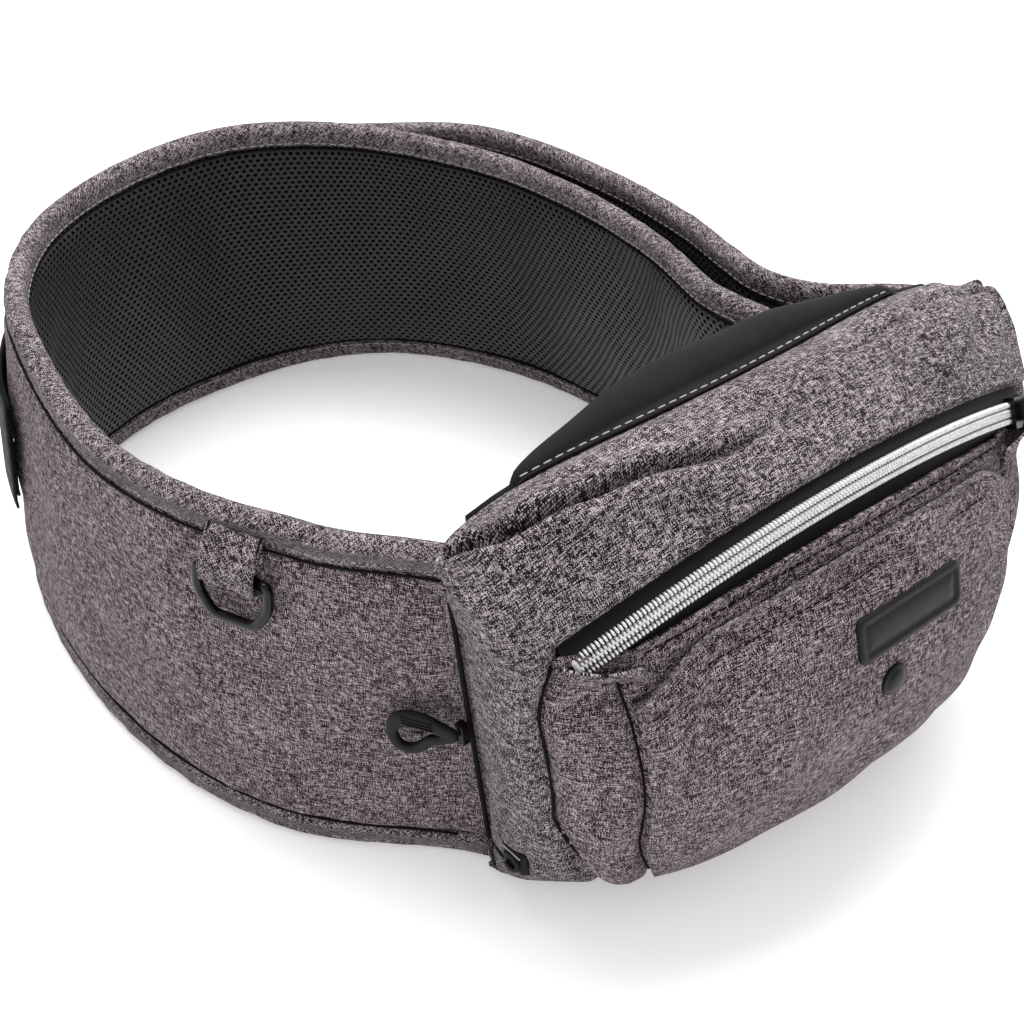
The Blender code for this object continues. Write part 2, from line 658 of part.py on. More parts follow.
def bag_back(u, v):
    """The cloth wall between the foam and the bag, just in front of the foam."""
    low = seat_point(FOAM_LINES, u, 2.0)
    high = seat_point(FOAM_LINES, u, 5.0)
    point = seat_point(FOAM_LINES, u, 2.0 + 3.0 * v)
    point.y = min(point.y, low.y + (high.y - low.y) * v) - 0.0012
    return point


def side_panel(name, side, root):
    """The cloth end wall of the seat, from the belt seam to the bag's gusset."""
    rows = [cover(side * SIDE_U, v) for v in np.linspace(line_at("bottom", 0.2), line_at("roll"), 13)]
    outline = [Vector((p.x, SEAT_BACK_Y - 0.0082, p.z)) for p in rows]
    rings = []
    for front, back in zip(rows, outline):
        front = Vector((front.x, front.y + 0.0030, front.z))
        middle = (front + back) / 2
        outer = Vector((side * (COVER_THICK + 0.0010), 0, 0))
        inner = Vector((side * 0.0010, 0, 0))
        inside = [back + inner, middle + inner, front + inner]
        outside = [front + outer, middle + outer, back + outer]
        rings.append(inside + outside)
    loft(f"{name}_seat_side_panel", rings, HEATHER, root)


def back_panel(root):
    """The wearer's side of the seat: a stiff plate and a spacer-mesh panel over it."""
    def face(u, v):
        top = cover(u, line_at("top_back"))
        low = cover(u, line_at("bottom_back"))
        z = low.z + 0.004 + (top.z - low.z - 0.009) * v
        return Vector((-u * seat_half_width(z), SEAT_BACK_Y, z))
    skin("seat_support_plate", face, (-0.90, 0.90), (0.03, 0.97), (12, 4), -0.0032, 0.0024, BOARD, root)
    skin("seat_back_panel", face, (-0.86, 0.86), (0.0, 1.0), (16, 6), 0.0002, 0.0036, MESH, root)


# ---------------------------------------------------------------- front pocket, patch, snap
def pocket_hinge_frame():
    return Matrix.Translation((0, SEAT_BACK_Y - SEAT_LINES["bottom_front"][0] + 0.004,
                               SEAT_LINES["bottom_front"][1] - 0.002))


def build_pocket(root):
    """The patch pocket on the bag's front, hinged along its sewn foot, with its patch and snap."""
    frame = pocket_hinge_frame()
    hinge = empty("pocket_hinge", root, frame)
    back = frame.inverted()

    def outer(u, v):
        return back @ cover(u, v)

    span = (-BAG_SIDE_SEAM + 0.012, BAG_SIDE_SEAM - 0.012)
    pocket_v = (line_at("bottom_front", 0.15), line_at("mouth", -0.05))
    skin("pocket_front", outer, span, pocket_v, (18, 9), 0.0008, COVER_THICK, HEATHER, hinge)
    patch_v = (line_at("belly", 0.76), line_at("chest", 0.32))
    skin("blank_patch", outer, (-0.17, 0.27), patch_v, (6, 3), 0.0008 + COVER_THICK + GAP, 0.0018,
         LEATHER, hinge)
    snap_seat = cover(0.02, line_at("belly", 0.30))
    bm = bmesh.new()
    bmesh.ops.create_cone(bm, cap_ends=True, segments=20, radius1=0.0062, radius2=0.0048, depth=0.0030)
    facing = Matrix.Rotation(math.pi / 2, 4, "X")
    spot = back @ (snap_seat + Vector((0, -(0.0008 + COVER_THICK + GAP + 0.0015 + 0.0002), 0)))
    place("snap_cap", mesh_from(bm, "snap_cap"), PLASTIC, hinge, Matrix.Translation(spot) @ facing)
    return hinge


# ---------------------------------------------------------------- zip
def zip_frame():
    """The zip is a circular arc: its frame has Z on the arc's axis and X to the middle of the arc."""
    end_y, end_z = ZIP_END
    middle = Vector((0, end_y - ZIP_BULGE, end_z + ZIP_RISE))
    rise = math.hypot(ZIP_RISE, ZIP_BULGE)
    radius = (ZIP_HALF_CHORD ** 2 + rise ** 2) / (2 * rise)
    outward = Vector((0, -ZIP_BULGE, ZIP_RISE)) / rise
    axis = outward.cross(Vector((1, 0, 0)))
    centre = middle - outward * radius
    matrix = Matrix((outward, axis.cross(outward), axis)).transposed().to_4x4()
    matrix.translation = centre
    return matrix, radius


def zip_sweep(name, profile, start, end, look, parent, radius, matrix=None):
    """A profile of (across the tape, above the tape) points, turned about the zip's axis."""
    across = Vector((0.613, 0.790)).normalized()
    above = Vector((across.y, -across.x))
    bm = bmesh.new()
    verts = []
    for a, b in profile:
        spot = across * a + above * b
        verts.append(bm.verts.new((radius + spot.x, 0, spot.y)))
    face = bm.faces.new(verts)
    bmesh.ops.rotate(bm, verts=verts, cent=(0, 0, 0), matrix=Matrix.Rotation(start, 3, "Z"))
    steps = max(int(round((end - start) / 0.045)), 1)
    bmesh.ops.spin(bm, geom=[face, *face.edges, *face.verts], cent=(0, 0, 0), axis=(0, 0, 1),
                   angle=end - start, steps=steps, use_duplicate=False)
    return place(name, mesh_from(bm, name), look, parent, matrix)


def rectangle(a0, a1, b0, b1):
    return [(a0, b0), (a1, b0), (a1, b1), (a0, b1)]


def build_zip(root):
    """Two tapes, two rows of teeth, end stops, and a slider that runs round the arc with its pull."""
    matrix, radius = zip_frame()
    base = empty("zip_arc", root, matrix)
    reach = math.asin(ZIP_HALF_CHORD / radius)
    for side, name in ((1, "upper"), (-1, "lower")):
        inner = side * 0.0006
        outer = side * (0.0006 + TAPE_WIDTH)
        span = sorted((inner, outer))
        tape = rectangle(*span, 0, TAPE_THICK)
        zip_sweep(f"zip_{name}_tape", tape, -reach, reach, BLACK_CLOTH, base, radius)
        teeth = sorted((side * 0.0003, side * (0.0003 + TEETH_WIDTH)))
        raised = TAPE_THICK + GAP
        zip_sweep(f"zip_{name}_teeth", rectangle(*teeth, raised, raised + TEETH_THICK),
                  -reach + 0.012, reach - 0.012, SILVER, base, radius)
    stop = rectangle(-0.0040, 0.0040, TAPE_THICK + GAP, TAPE_THICK + GAP + 0.0024)
    zip_sweep("zip_left_stop", stop, -reach + 0.001, -reach + 0.010, SILVER, base, radius)
    zip_sweep("zip_right_stop", stop, reach - 0.010, reach - 0.001, SILVER, base, radius)

    slider_angle = reach - 0.012 - SLIDER_LENGTH / radius / 2
    turned = empty("zip_slider_turn", base, Matrix.Rotation(slider_angle, 4, "Z"))
    half = SLIDER_LENGTH / radius / 2
    side_in = TEETH_WIDTH + 0.0006
    side_out = side_in + 0.0014
    low = TAPE_THICK + GAP
    ceiling = low + TEETH_THICK + GAP
    roof = ceiling + 0.0014
    channel = [(-side_out, low), (-side_in, low), (-side_in, ceiling), (side_in, ceiling),
               (side_in, low), (side_out, low), (side_out, roof), (-side_out, roof)]
    zip_sweep("zip_slider", channel, -half, half, METAL, turned, radius)
    across = Vector((0.613, 0, 0.790)).normalized()
    above = Vector((across.z, 0, -across.x))
    pivot = Vector((radius, 0, 0)) + above * (roof + 0.0027)
    pull = empty("zip_pull_hinge", turned, frame_matrix(pivot, across, above))
    outline = round_corners([(-0.0032, -0.0013), (0.0032, -0.0013), (0.0040, 0.0205), (-0.0040, 0.0205)],
                            [0.0015, 0.0015, 0.003, 0.003], 3)
    hole = round_corners([(-0.0017, 0.0115), (-0.0019, 0.0180), (0.0019, 0.0180), (0.0017, 0.0115)],
                         [0.001, 0.001, 0.001, 0.001], 2)
    laid = Matrix.Rotation(-math.pi / 2, 4, "X") @ Matrix.Rotation(math.pi, 4, "X")
    outline_plate("zip_pull", [[tuple(p) for p in outline], [tuple(p) for p in hole]], 0.0020, 0.0004,
                  METAL, pull, laid)
    return base, turned, pull


# ---------------------------------------------------------------- concealed side zip and its puller
def build_side_zip(root):
    """A slim zip down the seam between the left wing and the seat, with a moulded finger loop."""
    low, top = (Vector((-seat_half_width(z) * SIDE_U - 0.0012, SIDE_ZIP_Y, z)) for z in SIDE_ZIP_SPAN)
    frame = frame_matrix(low, (0, 1, 0), top - low)
    length = (top - low).length
    base = empty("side_zip_frame", root, frame)
    rounded_box("side_zip_tape", (0.0030, 0.0024, length), 0.0003, BLACK_CLOTH, base, Matrix.Identity(4),
                (0, 0, length / 2))
    slider = empty("side_slider_frame", base, Matrix.Translation((0, SIDE_SLIDER_OUT, length * 0.50)))
    rounded_box("side_zip_slider", (0.0036, 0.0034, 0.0090), 0.0005, METAL, slider, Matrix.Identity(4))
    turned = math.radians(PULLER_TURN)
    hinge_frame = Matrix.Translation((0, 0.0036, 0)) @ Matrix.Rotation(turned, 4, "Z")
    hinge = empty("side_puller_hinge", slider, hinge_frame)
    sides = [(0.0012, -0.0045), (0.0012, 0.0045), (0.0200, 0.0075), (0.0300, 0.0065), (0.0320, -0.0030),
             (0.0250, -0.0085), (0.0160, -0.0070)]
    hole = [(0.0130, 0.0005), (0.0210, 0.0025), (0.0285, 0.0030), (0.0290, -0.0025), (0.0235, -0.0055)]
    outline = round_corners(sides, [0.001, 0.001, 0.004, 0.003, 0.003, 0.003, 0.004], 3)
    window = round_corners(hole, [0.0015, 0.002, 0.0015, 0.002, 0.002], 3)
    outline_plate("side_puller", [[tuple(p) for p in outline], [tuple(p) for p in window]], 0.0026, 0.0005,
                  PLASTIC, hinge, Matrix.Identity(4))


def build_bottom_tab(root):
    """A short folded loop of webbing sewn by the foot of the left side panel."""
    x = -(seat_half_width(BOTTOM_TAB[1]) * SIDE_U + COVER_THICK + 0.0010 + GAP + 0.0010)
    lean = Vector((SEAT_HALF_WIDTH_BOTTOM - SEAT_HALF_WIDTH_TOP, 0, SEAT_SIDE_HEIGHT))
    frame = frame_matrix((x, BOTTOM_TAB[0], BOTTOM_TAB[1]), (0, 1, 0), lean)
    rounded_box("bottom_tab", (0.0125, 0.0018, 0.0105), 0.0004, WEBBING, root, frame)


# ---------------------------------------------------------------- build
def main():
    root = empty("seat_frame", None, Matrix.Translation((*SEAT_FRAME, 0)))
    left = left_path()
    right = right_path(left)
    wing("left", left, 0.0, left.length, root)
    seam = Matrix.Translation((*RIGHT_HINGE, 0))
    wing_hinge = empty("right_wing_hinge", root, seam)
    wing_frame = empty("right_wing_frame", wing_hinge, seam.inverted())
    wing("right", right, 0.0, right.length, wing_frame)
    ring_and_tab("left", left, RING_ARC, root)
    ring_and_tab("right", right, RING_ARC, wing_frame)
    build_strap(left, right, root, wing_frame)
    build_closure(left, right, root, wing_frame)
    build_seat(root)
    build_pocket(root)
    build_zip(root)
    build_side_zip(root)
    build_bottom_tab(root)


clear_scene()
PARTS = new_collection("hip_seat_carrier")
CUTTERS = new_collection("cutters")
main()
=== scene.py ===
"""Looks of the hip seat carrier: cloth, spacer mesh, webbing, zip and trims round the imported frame.

Metres, +Z up, in the row frame. The seat faces -Y and the belt stands on its lower edge. Shapes are
worked out in the seat's own frame, X = 0 at the middle of the seat, and moved to the row frame at the end.
"""

import json
import math

import bmesh
import bpy
import numpy as np
from mathutils import Matrix, Vector

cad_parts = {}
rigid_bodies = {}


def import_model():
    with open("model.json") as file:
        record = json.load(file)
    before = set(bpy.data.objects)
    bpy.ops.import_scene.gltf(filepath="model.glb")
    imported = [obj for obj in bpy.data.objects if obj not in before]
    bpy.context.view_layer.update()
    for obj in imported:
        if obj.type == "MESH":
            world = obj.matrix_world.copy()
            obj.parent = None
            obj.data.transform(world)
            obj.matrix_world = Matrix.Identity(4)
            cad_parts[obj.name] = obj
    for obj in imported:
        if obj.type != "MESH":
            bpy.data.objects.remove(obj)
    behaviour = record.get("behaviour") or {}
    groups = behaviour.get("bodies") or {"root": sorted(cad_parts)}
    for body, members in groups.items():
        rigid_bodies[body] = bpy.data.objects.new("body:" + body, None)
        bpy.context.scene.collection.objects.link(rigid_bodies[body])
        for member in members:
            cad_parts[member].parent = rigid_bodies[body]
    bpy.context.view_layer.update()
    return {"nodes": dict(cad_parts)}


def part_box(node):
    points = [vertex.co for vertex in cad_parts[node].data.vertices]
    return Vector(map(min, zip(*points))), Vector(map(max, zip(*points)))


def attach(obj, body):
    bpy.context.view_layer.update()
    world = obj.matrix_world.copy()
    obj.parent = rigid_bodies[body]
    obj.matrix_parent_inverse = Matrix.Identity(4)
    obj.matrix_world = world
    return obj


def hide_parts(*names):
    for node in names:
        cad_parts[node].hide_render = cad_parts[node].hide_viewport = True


for startup in list(bpy.data.objects):
    bpy.data.objects.remove(startup, do_unlink=True)
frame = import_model()

# ---------------------------------------------------------------- where the seat is
PLATE_LOW, PLATE_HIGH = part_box("seat_support_plate")
SEAT_BACK_Y = -0.1390
SEAT_FRAME = np.array([(PLATE_LOW.x + PLATE_HIGH.x) / 2, PLATE_HIGH.y + 0.0008 - SEAT_BACK_Y, 0.0])

# ---------------------------------------------------------------- sizes that follow the frame
BELT_HEIGHT_FRONT = 0.1445
BELT_HEIGHT_BACK = 0.1340
LEFT_SIDE_DIP = 0.0095
LEFT_WING_PLAN = [
    (-0.1065, -0.1370), (-0.1315, -0.0985), (-0.1500, -0.0550), (-0.1560, -0.0045),
    (-0.1500, 0.0505), (-0.1330, 0.1000), (-0.0980, 0.1380), (-0.0460, 0.1570),
    (0.0085, 0.1540), (0.0548, 0.1265), (0.0855, 0.0750), (0.0955, 0.0205),
    (0.0890, -0.0340), (0.0750, -0.0770), (0.0630, -0.1080),
]
WING_OVERLAP_OFFSET = 0.0193
RIGHT_WING_TIP_X = 0.040
RIGHT_TIP_DROP = 0.0090
RIGHT_WING_LEAVES_Y = -0.040
RIGHT_SEAM_PLAN = [(0.0990, -0.0700), (0.0925, -0.1030), (0.1050, -0.1368)]
LEAN_LEFT = 0.0040
LEAN_RIGHT = 0.0195
LEAN_AT_SEAT = -0.0065

SEAT_HALF_WIDTH_BOTTOM = 0.1010
SEAT_HALF_WIDTH_TOP = 0.1190
SEAT_SIDE_HEIGHT = 0.1440
SIDE_U = 0.985
BAG_SIDE_SEAM = 0.78
SEAT_LINES = {
    "bottom_back": (0.000, 0.0050, 0.000, 0.0060, 4, 2),
    "bottom": (0.038, 0.0040, 0.018, 0.0065, 4, 2),
    "bottom_front": (0.060, 0.0140, 0.030, 0.0170, 4, 2),
    "low_front": (0.074, 0.0380, 0.038, 0.0380, 3.2, 2),
    "belly": (0.081, 0.0720, 0.042, 0.0650, 3, 2),
    "chest": (0.077, 0.1050, 0.042, 0.0880, 2.6, 2),
    "mouth": (0.0655, 0.1290, 0.042, 0.1050, 2.2, 2),
    "zip": (0.0550, 0.1470, 0.041, 0.1210, 2.2, 2),
    "platform": (0.0390, 0.1600, 0.030, 0.1350, 2.2, 2.5),
    "roll": (0.0280, 0.1650, 0.018, 0.1450, 2.2, 3.5),
    "strip_edge": (0.0170, 0.1640, 0.009, 0.1470, 2.2, 4.5),
    "top_back": (0.000, 0.1560, 0.000, 0.1450, 2.2, 5),
}
LINE_INDEX = {name: i for i, name in enumerate(SEAT_LINES)}

ZIP_HALF_CHORD = 0.1050
ZIP_RISE = 0.0220
ZIP_BULGE = 0.0100
ZIP_END = (-0.1835, 0.1250)
TOOTH_PITCH = 0.00140
TOOTH_REACH = 0.0037
TAPE_THICK = 0.0010

RING_ARC = 0.0730
RING_BAR_HEIGHT = 0.1130
RING_WIRE = 0.0019
RING_WIDTH = 0.0330
RING_DROP = 0.0255
TAB_WIDTH = 0.0212

STRAP_WIDTH = 0.0420
STRAP_THICK = 0.0014
STRAP_HEIGHT = 0.0790

BINDING_TALL = 0.0112
BINDING_HALF = 0.0042
CLOTH_THICK = 0.0011
GRID_STEP = 0.0034
YARN = 0.00040
MESH_HOLE_PITCH = (0.0034, 0.0023)

# ---------------------------------------------------------------- colours (linear)
PLUM_DARK = (0.0030, 0.0010, 0.0016, 1)
PLUM_MID = (0.064, 0.038, 0.046, 1)
PLUM_PALE = (0.570, 0.490, 0.515, 1)
BLACK = (0.0035, 0.0035, 0.0038, 1)
SOFT_BLACK = (0.0060, 0.0060, 0.0064, 1)
THREAD_DARK = (0.0055, 0.0040, 0.0046, 1)
THREAD_PALE = (0.52, 0.50, 0.50, 1)


# ---------------------------------------------------------------- belt and seat geometry
def smoothstep(low, high, value):
    t = np.clip((value - low) / (high - low), 0.0, 1.0)
    return t * t * (3 - 2 * t)


def catmull(points, t):
    i = min(int(t), len(points) - 2)
    f = t - i
    p1 = points[i]
    p2 = points[i + 1]
    p0 = points[i - 1] if i > 0 else 2 * p1 - p2
    p3 = points[i + 2] if i + 2 < len(points) else 2 * p2 - p1
    return 0.5 * (2 * p1 + (p2 - p0) * f + (2 * p0 - 5 * p1 + 4 * p2 - p3) * f ** 2
                  + (3 * p1 - p0 - 3 * p2 + p3) * f ** 3)


class Path:
    """A plan curve by arc length, with the outward direction on its left (side 1) or right (-1)."""

    def __init__(self, points, side, tip_drop=0.0):
        points = [np.array(p) for p in points]
        steps = np.linspace(0, len(points) - 1, 24 * (len(points) - 1) + 1)
        self.dense = np.array([catmull(points, t) for t in steps])
        runs = np.linalg.norm(np.diff(self.dense, axis=0), axis=1)
        self.arc = np.concatenate([[0.0], np.cumsum(runs)])
        self.length = float(self.arc[-1])
        self.side = side
        self.tip_drop = tip_drop

    def point(self, s):
        return np.array([np.interp(s, self.arc, self.dense[:, k]) for k in (0, 1)])

    def tangent(self, s):
        step = 0.004
        delta = self.point(min(s + step, self.length)) - self.point(max(s - step, 0.0))
        return delta / np.linalg.norm(delta)

    def outward(self, s):
        tx, ty = self.tangent(s)
        return self.side * np.array([-ty, tx])

    def arc_where(self, test):
        return next(float(a) for a, p in zip(self.arc, self.dense) if test(p))


def belt_height(path, s):
    x, y = path.point(s)
    drop = (BELT_HEIGHT_FRONT - BELT_HEIGHT_BACK) * smoothstep(-0.12, 0.04, y)
    if x < 0:
        drop += LEFT_SIDE_DIP * smoothstep(-0.137, -0.090, y) * (1 - smoothstep(-0.010, 0.090, y))
    return BELT_HEIGHT_FRONT - drop - path.tip_drop * smoothstep(path.length - 0.09, path.length, s)


def belt_lean(point):
    lean = LEAN_LEFT + (LEAN_RIGHT - LEAN_LEFT) * smoothstep(-0.02, 0.09, point[0])
    return LEAN_AT_SEAT + (lean - LEAN_AT_SEAT) * smoothstep(-0.140, -0.080, point[1])


def belt_point(path, s, height, offset, lean_share=1.0):
    middle = path.point(s)
    shift = offset + lean_share * belt_lean(middle) * (1 - 2 * height)
    x, y = middle + path.outward(s) * shift
    return np.array([x, y, belt_height(path, s) * height])


LEFT = Path(LEFT_WING_PLAN, 1)


def right_path():
    tip = LEFT.arc_where(lambda p: p[0] > RIGHT_WING_TIP_X and p[1] > 0)
    leaves = LEFT.arc_where(lambda p: p[0] > 0 and p[1] < RIGHT_WING_LEAVES_Y)
    shared = [LEFT.point(s) + LEFT.outward(s) * WING_OVERLAP_OFFSET for s in np.linspace(tip, leaves, 14)]
    seam = [np.array(p) for p in reversed(RIGHT_SEAM_PLAN)]
    return Path(seam + shared[::-1], -1, RIGHT_TIP_DROP)


RIGHT = right_path()


def half_width(z):
    return SEAT_HALF_WIDTH_BOTTOM + (SEAT_HALF_WIDTH_TOP - SEAT_HALF_WIDTH_BOTTOM) * z / SEAT_SIDE_HEIGHT


def cover(u, v):
    """A point of the seat's face: u runs from its left side (-1) to its right (1), v over the lines."""
    q = min(abs(u), 1.0)
    rows = []
    for depth_mid, height_mid, depth_side, height_side, depth_power, height_power in SEAT_LINES.values():
        rows.append(np.array([depth_mid + (depth_side - depth_mid) * q ** depth_power,
                              height_mid + (height_side - height_mid) * q ** height_power]))
    depth, height = catmull(rows, min(max(v, 0.0), len(rows) - 1.0))
    return np.array([u * half_width(height), SEAT_BACK_Y - depth, height])


def line_at(name, shift=0.0):
    return LINE_INDEX[name] + shift


def cover_frame(u, v):
    """Point, direction across, direction up the face, and outward normal of the seat's face."""
    step = 1e-3
    across = cover(u + step, v) - cover(u - step, v)
    along = cover(u, v + step) - cover(u, v - step)
    normal = np.cross(across, along)
    return (cover(u, v), across / np.linalg.norm(across), along / np.linalg.norm(along),
            normal / np.linalg.norm(normal))


def surface_line(places):
    """Points off the seat's face, from (u, v, lift) for each, and the face's normals there."""
    line, out = [], []
    for u, v, lift in places:
        spot, _, _, normal = cover_frame(u, v)
        line.append(spot + normal * lift)
        out.append(normal)
    return line, out


# ---------------------------------------------------------------- mesh helpers
def ripple(x, y, size, seed):
    """A smooth random field of about -1 to 1, whose bumps are about size across."""
    count = 8
    rng = np.random.default_rng(seed)
    total = np.zeros(np.broadcast(x, y).shape)
    for _ in range(count):
        angle = rng.uniform(0, 2 * math.pi)
        wave = size * rng.uniform(0.8, 1.9)
        phase = rng.uniform(0, 2 * math.pi)
        total = total + np.sin((x * math.cos(angle) + y * math.sin(angle)) / wave * 2 * math.pi + phase)
    return total / math.sqrt(count) * 0.8


def normals_of(points):
    normal = np.cross(np.gradient(points, axis=1), np.gradient(points, axis=0))
    return normal / np.maximum(np.linalg.norm(normal, axis=2, keepdims=True), 1e-12)


def lengths_of(points):
    """Running length along each row, and up each column, in metres."""
    rows, cols = points.shape[:2]
    across = np.linalg.norm(np.diff(points, axis=1), axis=2)
    along = np.linalg.norm(np.diff(points, axis=0), axis=2)
    u = np.concatenate([np.zeros((rows, 1)), np.cumsum(across, axis=1)], axis=1)
    u = u - u[:, cols // 2:cols // 2 + 1]
    v = np.concatenate([np.zeros((1, cols)), np.cumsum(along, axis=0)], axis=0)
    return np.stack([u, v], axis=2)


def add_piece(name, mesh, look, body, replaces=()):
    piece = bpy.data.objects.new(name, mesh)
    bpy.context.scene.collection.objects.link(piece)
    mesh.materials.clear()
    mesh.materials.append(look)
    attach(piece, body)
    if replaces:
        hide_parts(*replaces)
    return piece


def mesh_of(name, verts, faces, uvs=None):
    """A mesh in the row frame from points in the seat's frame, with its weave coordinates."""
    mesh = bpy.data.meshes.new(name)
    mesh.from_pydata([tuple(np.asarray(v) + SEAT_FRAME) for v in verts], [], faces)
    if uvs is not None:
        layer = mesh.uv_layers.new(name="weave")
        for loop in mesh.loops:
            layer.data[loop.index].uv = uvs[loop.vertex_index]
    mesh.shade_smooth()
    mesh.update()
    return mesh


def grid_faces(rows, cols, close_cols=False):
    faces = []
    for i in range(rows - 1):
        for j in range(cols if close_cols else cols - 1):
            k = (j + 1) % cols
            faces.append((i * cols + j, i * cols + k, (i + 1) * cols + k, (i + 1) * cols + j))
    return faces


def cloth_sheet(name, points, look, body, replaces=(), thick=CLOTH_THICK, uvs=None, flip=False):
    """A cloth panel through a grid of points, its outer face on them and its thickness behind."""
    rows, cols = points.shape[:2]
    uvs = lengths_of(points) if uvs is None else uvs
    faces = grid_faces(rows, cols)
    if flip:
        faces = [face[::-1] for face in faces]
    mesh = mesh_of(name, points.reshape(-1, 3), faces, uvs.reshape(-1, 2))
    piece = add_piece(name, mesh, look, body, replaces)
    if thick:
        solid = piece.modifiers.new("thickness", "SOLIDIFY")
        solid.thickness = thick
        solid.offset = -1
    return piece


def swept(name, rings, look, body, replaces=(), closed=False):
    """A closed roll through rings of equal count, capped at both ends unless it closes on itself."""
    rings = np.array(rings)
    count, sides = rings.shape[:2]
    runs = np.linalg.norm(np.diff(rings.mean(axis=1), axis=0), axis=1)
    along = np.concatenate([[0.0], np.cumsum(runs)])
    around = np.concatenate([[0.0], np.cumsum(np.linalg.norm(np.diff(rings[0], axis=0), axis=1))])
    uvs = np.array([(a, b) for a in along for b in around])
    faces = grid_faces(count, sides, close_cols=True)
    if closed:
        last = (count - 1) * sides
        for j in range(sides):
            k = (j + 1) % sides
            faces.append((last + j, last + k, k, j))
    else:
        faces.append(tuple(range(sides))[::-1])
        faces.append(tuple(range((count - 1) * sides, count * sides)))
    mesh = mesh_of(name, rings.reshape(-1, 3), faces, uvs)
    tidy_normals(mesh)
    return add_piece(name, mesh, look, body, replaces)


def tidy_normals(mesh):
    bm = bmesh.new()
    bm.from_mesh(mesh)
    bmesh.ops.recalc_face_normals(bm, faces=bm.faces)
    bm.to_mesh(mesh)
    bm.free()


def tube_rings(points, radius, sides=8, closed=False):
    """Round rings along a line of points, turned with as little twist as the line allows."""
    points = [np.asarray(p, float) for p in points]
    count = len(points)
    rings = []
    side = None
    for i, here in enumerate(points):
        before = points[i - 1] if i > 0 or closed else here
        after = points[(i + 1) % count] if i < count - 1 or closed else here
        tangent = (after - before) / np.linalg.norm(after - before)
        if side is None:
            side = np.cross(tangent, (0.31, 0.17, 0.93))
        side = side - tangent * np.dot(side, tangent)
        side = side / np.linalg.norm(side)
        up = np.cross(tangent, side)
        size = radius[i] if hasattr(radius, "__len__") else radius
        turns = np.linspace(0, 2 * math.pi, sides, endpoint=False)
        rings.append([here + size * (math.cos(a) * side + math.sin(a) * up) for a in turns])
    return rings


def tube(name, points, radius, look, body, replaces=(), sides=8, closed=False):
    return swept(name, tube_rings(points, radius, sides, closed), look, body, replaces, closed=closed)


def along_line(s, arc, rows):
    return np.array([np.interp(s, arc, rows[:, c]) for c in range(3)])


def stitches(name, points, normals, look, body, length=0.0026, gap=0.0012):
    """A row of thread stitches lying along a line on a surface."""
    radius = 0.00030
    points = np.asarray(points, float)
    normals = np.asarray(normals, float)
    runs = np.linalg.norm(np.diff(points, axis=0), axis=1)
    arc = np.concatenate([[0.0], np.cumsum(runs)])
    count = int(arc[-1] / (length + gap))
    shape = [(-0.5, 0.25), (-0.42, 0.85), (0.0, 1.0), (0.42, 0.85), (0.5, 0.25)]
    verts = []
    faces = []
    for k in range(count):
        mid = (k + 0.5) * (length + gap)
        here = along_line(mid, arc, points)
        ahead = along_line(mid + length / 2, arc, points)
        back = along_line(mid - length / 2, arc, points)
        up = along_line(mid, arc, normals)
        tangent = (ahead - back) / np.linalg.norm(ahead - back)
        side = np.cross(tangent, up)
        side = side / np.linalg.norm(side)
        start = len(verts)
        for along, size in shape:
            for a in np.linspace(0, 2 * math.pi, 6, endpoint=False):
                spot = here + tangent * along * length + up * radius * 0.35
                verts.append(spot + radius * size * (math.cos(a) * side + math.sin(a) * up))
        for i in range(len(shape) - 1):
            for j in range(6):
                m = (j + 1) % 6
                low, high = start + i * 6, start + (i + 1) * 6
                faces.append((low + j, low + m, high + m, high + j))
        faces.append(tuple(range(start, start + 6))[::-1])
        faces.append(tuple(range(start + 24, start + 30)))
    mesh = mesh_of(name, verts, faces)
    tidy_normals(mesh)
    return add_piece(name, mesh, look, body)


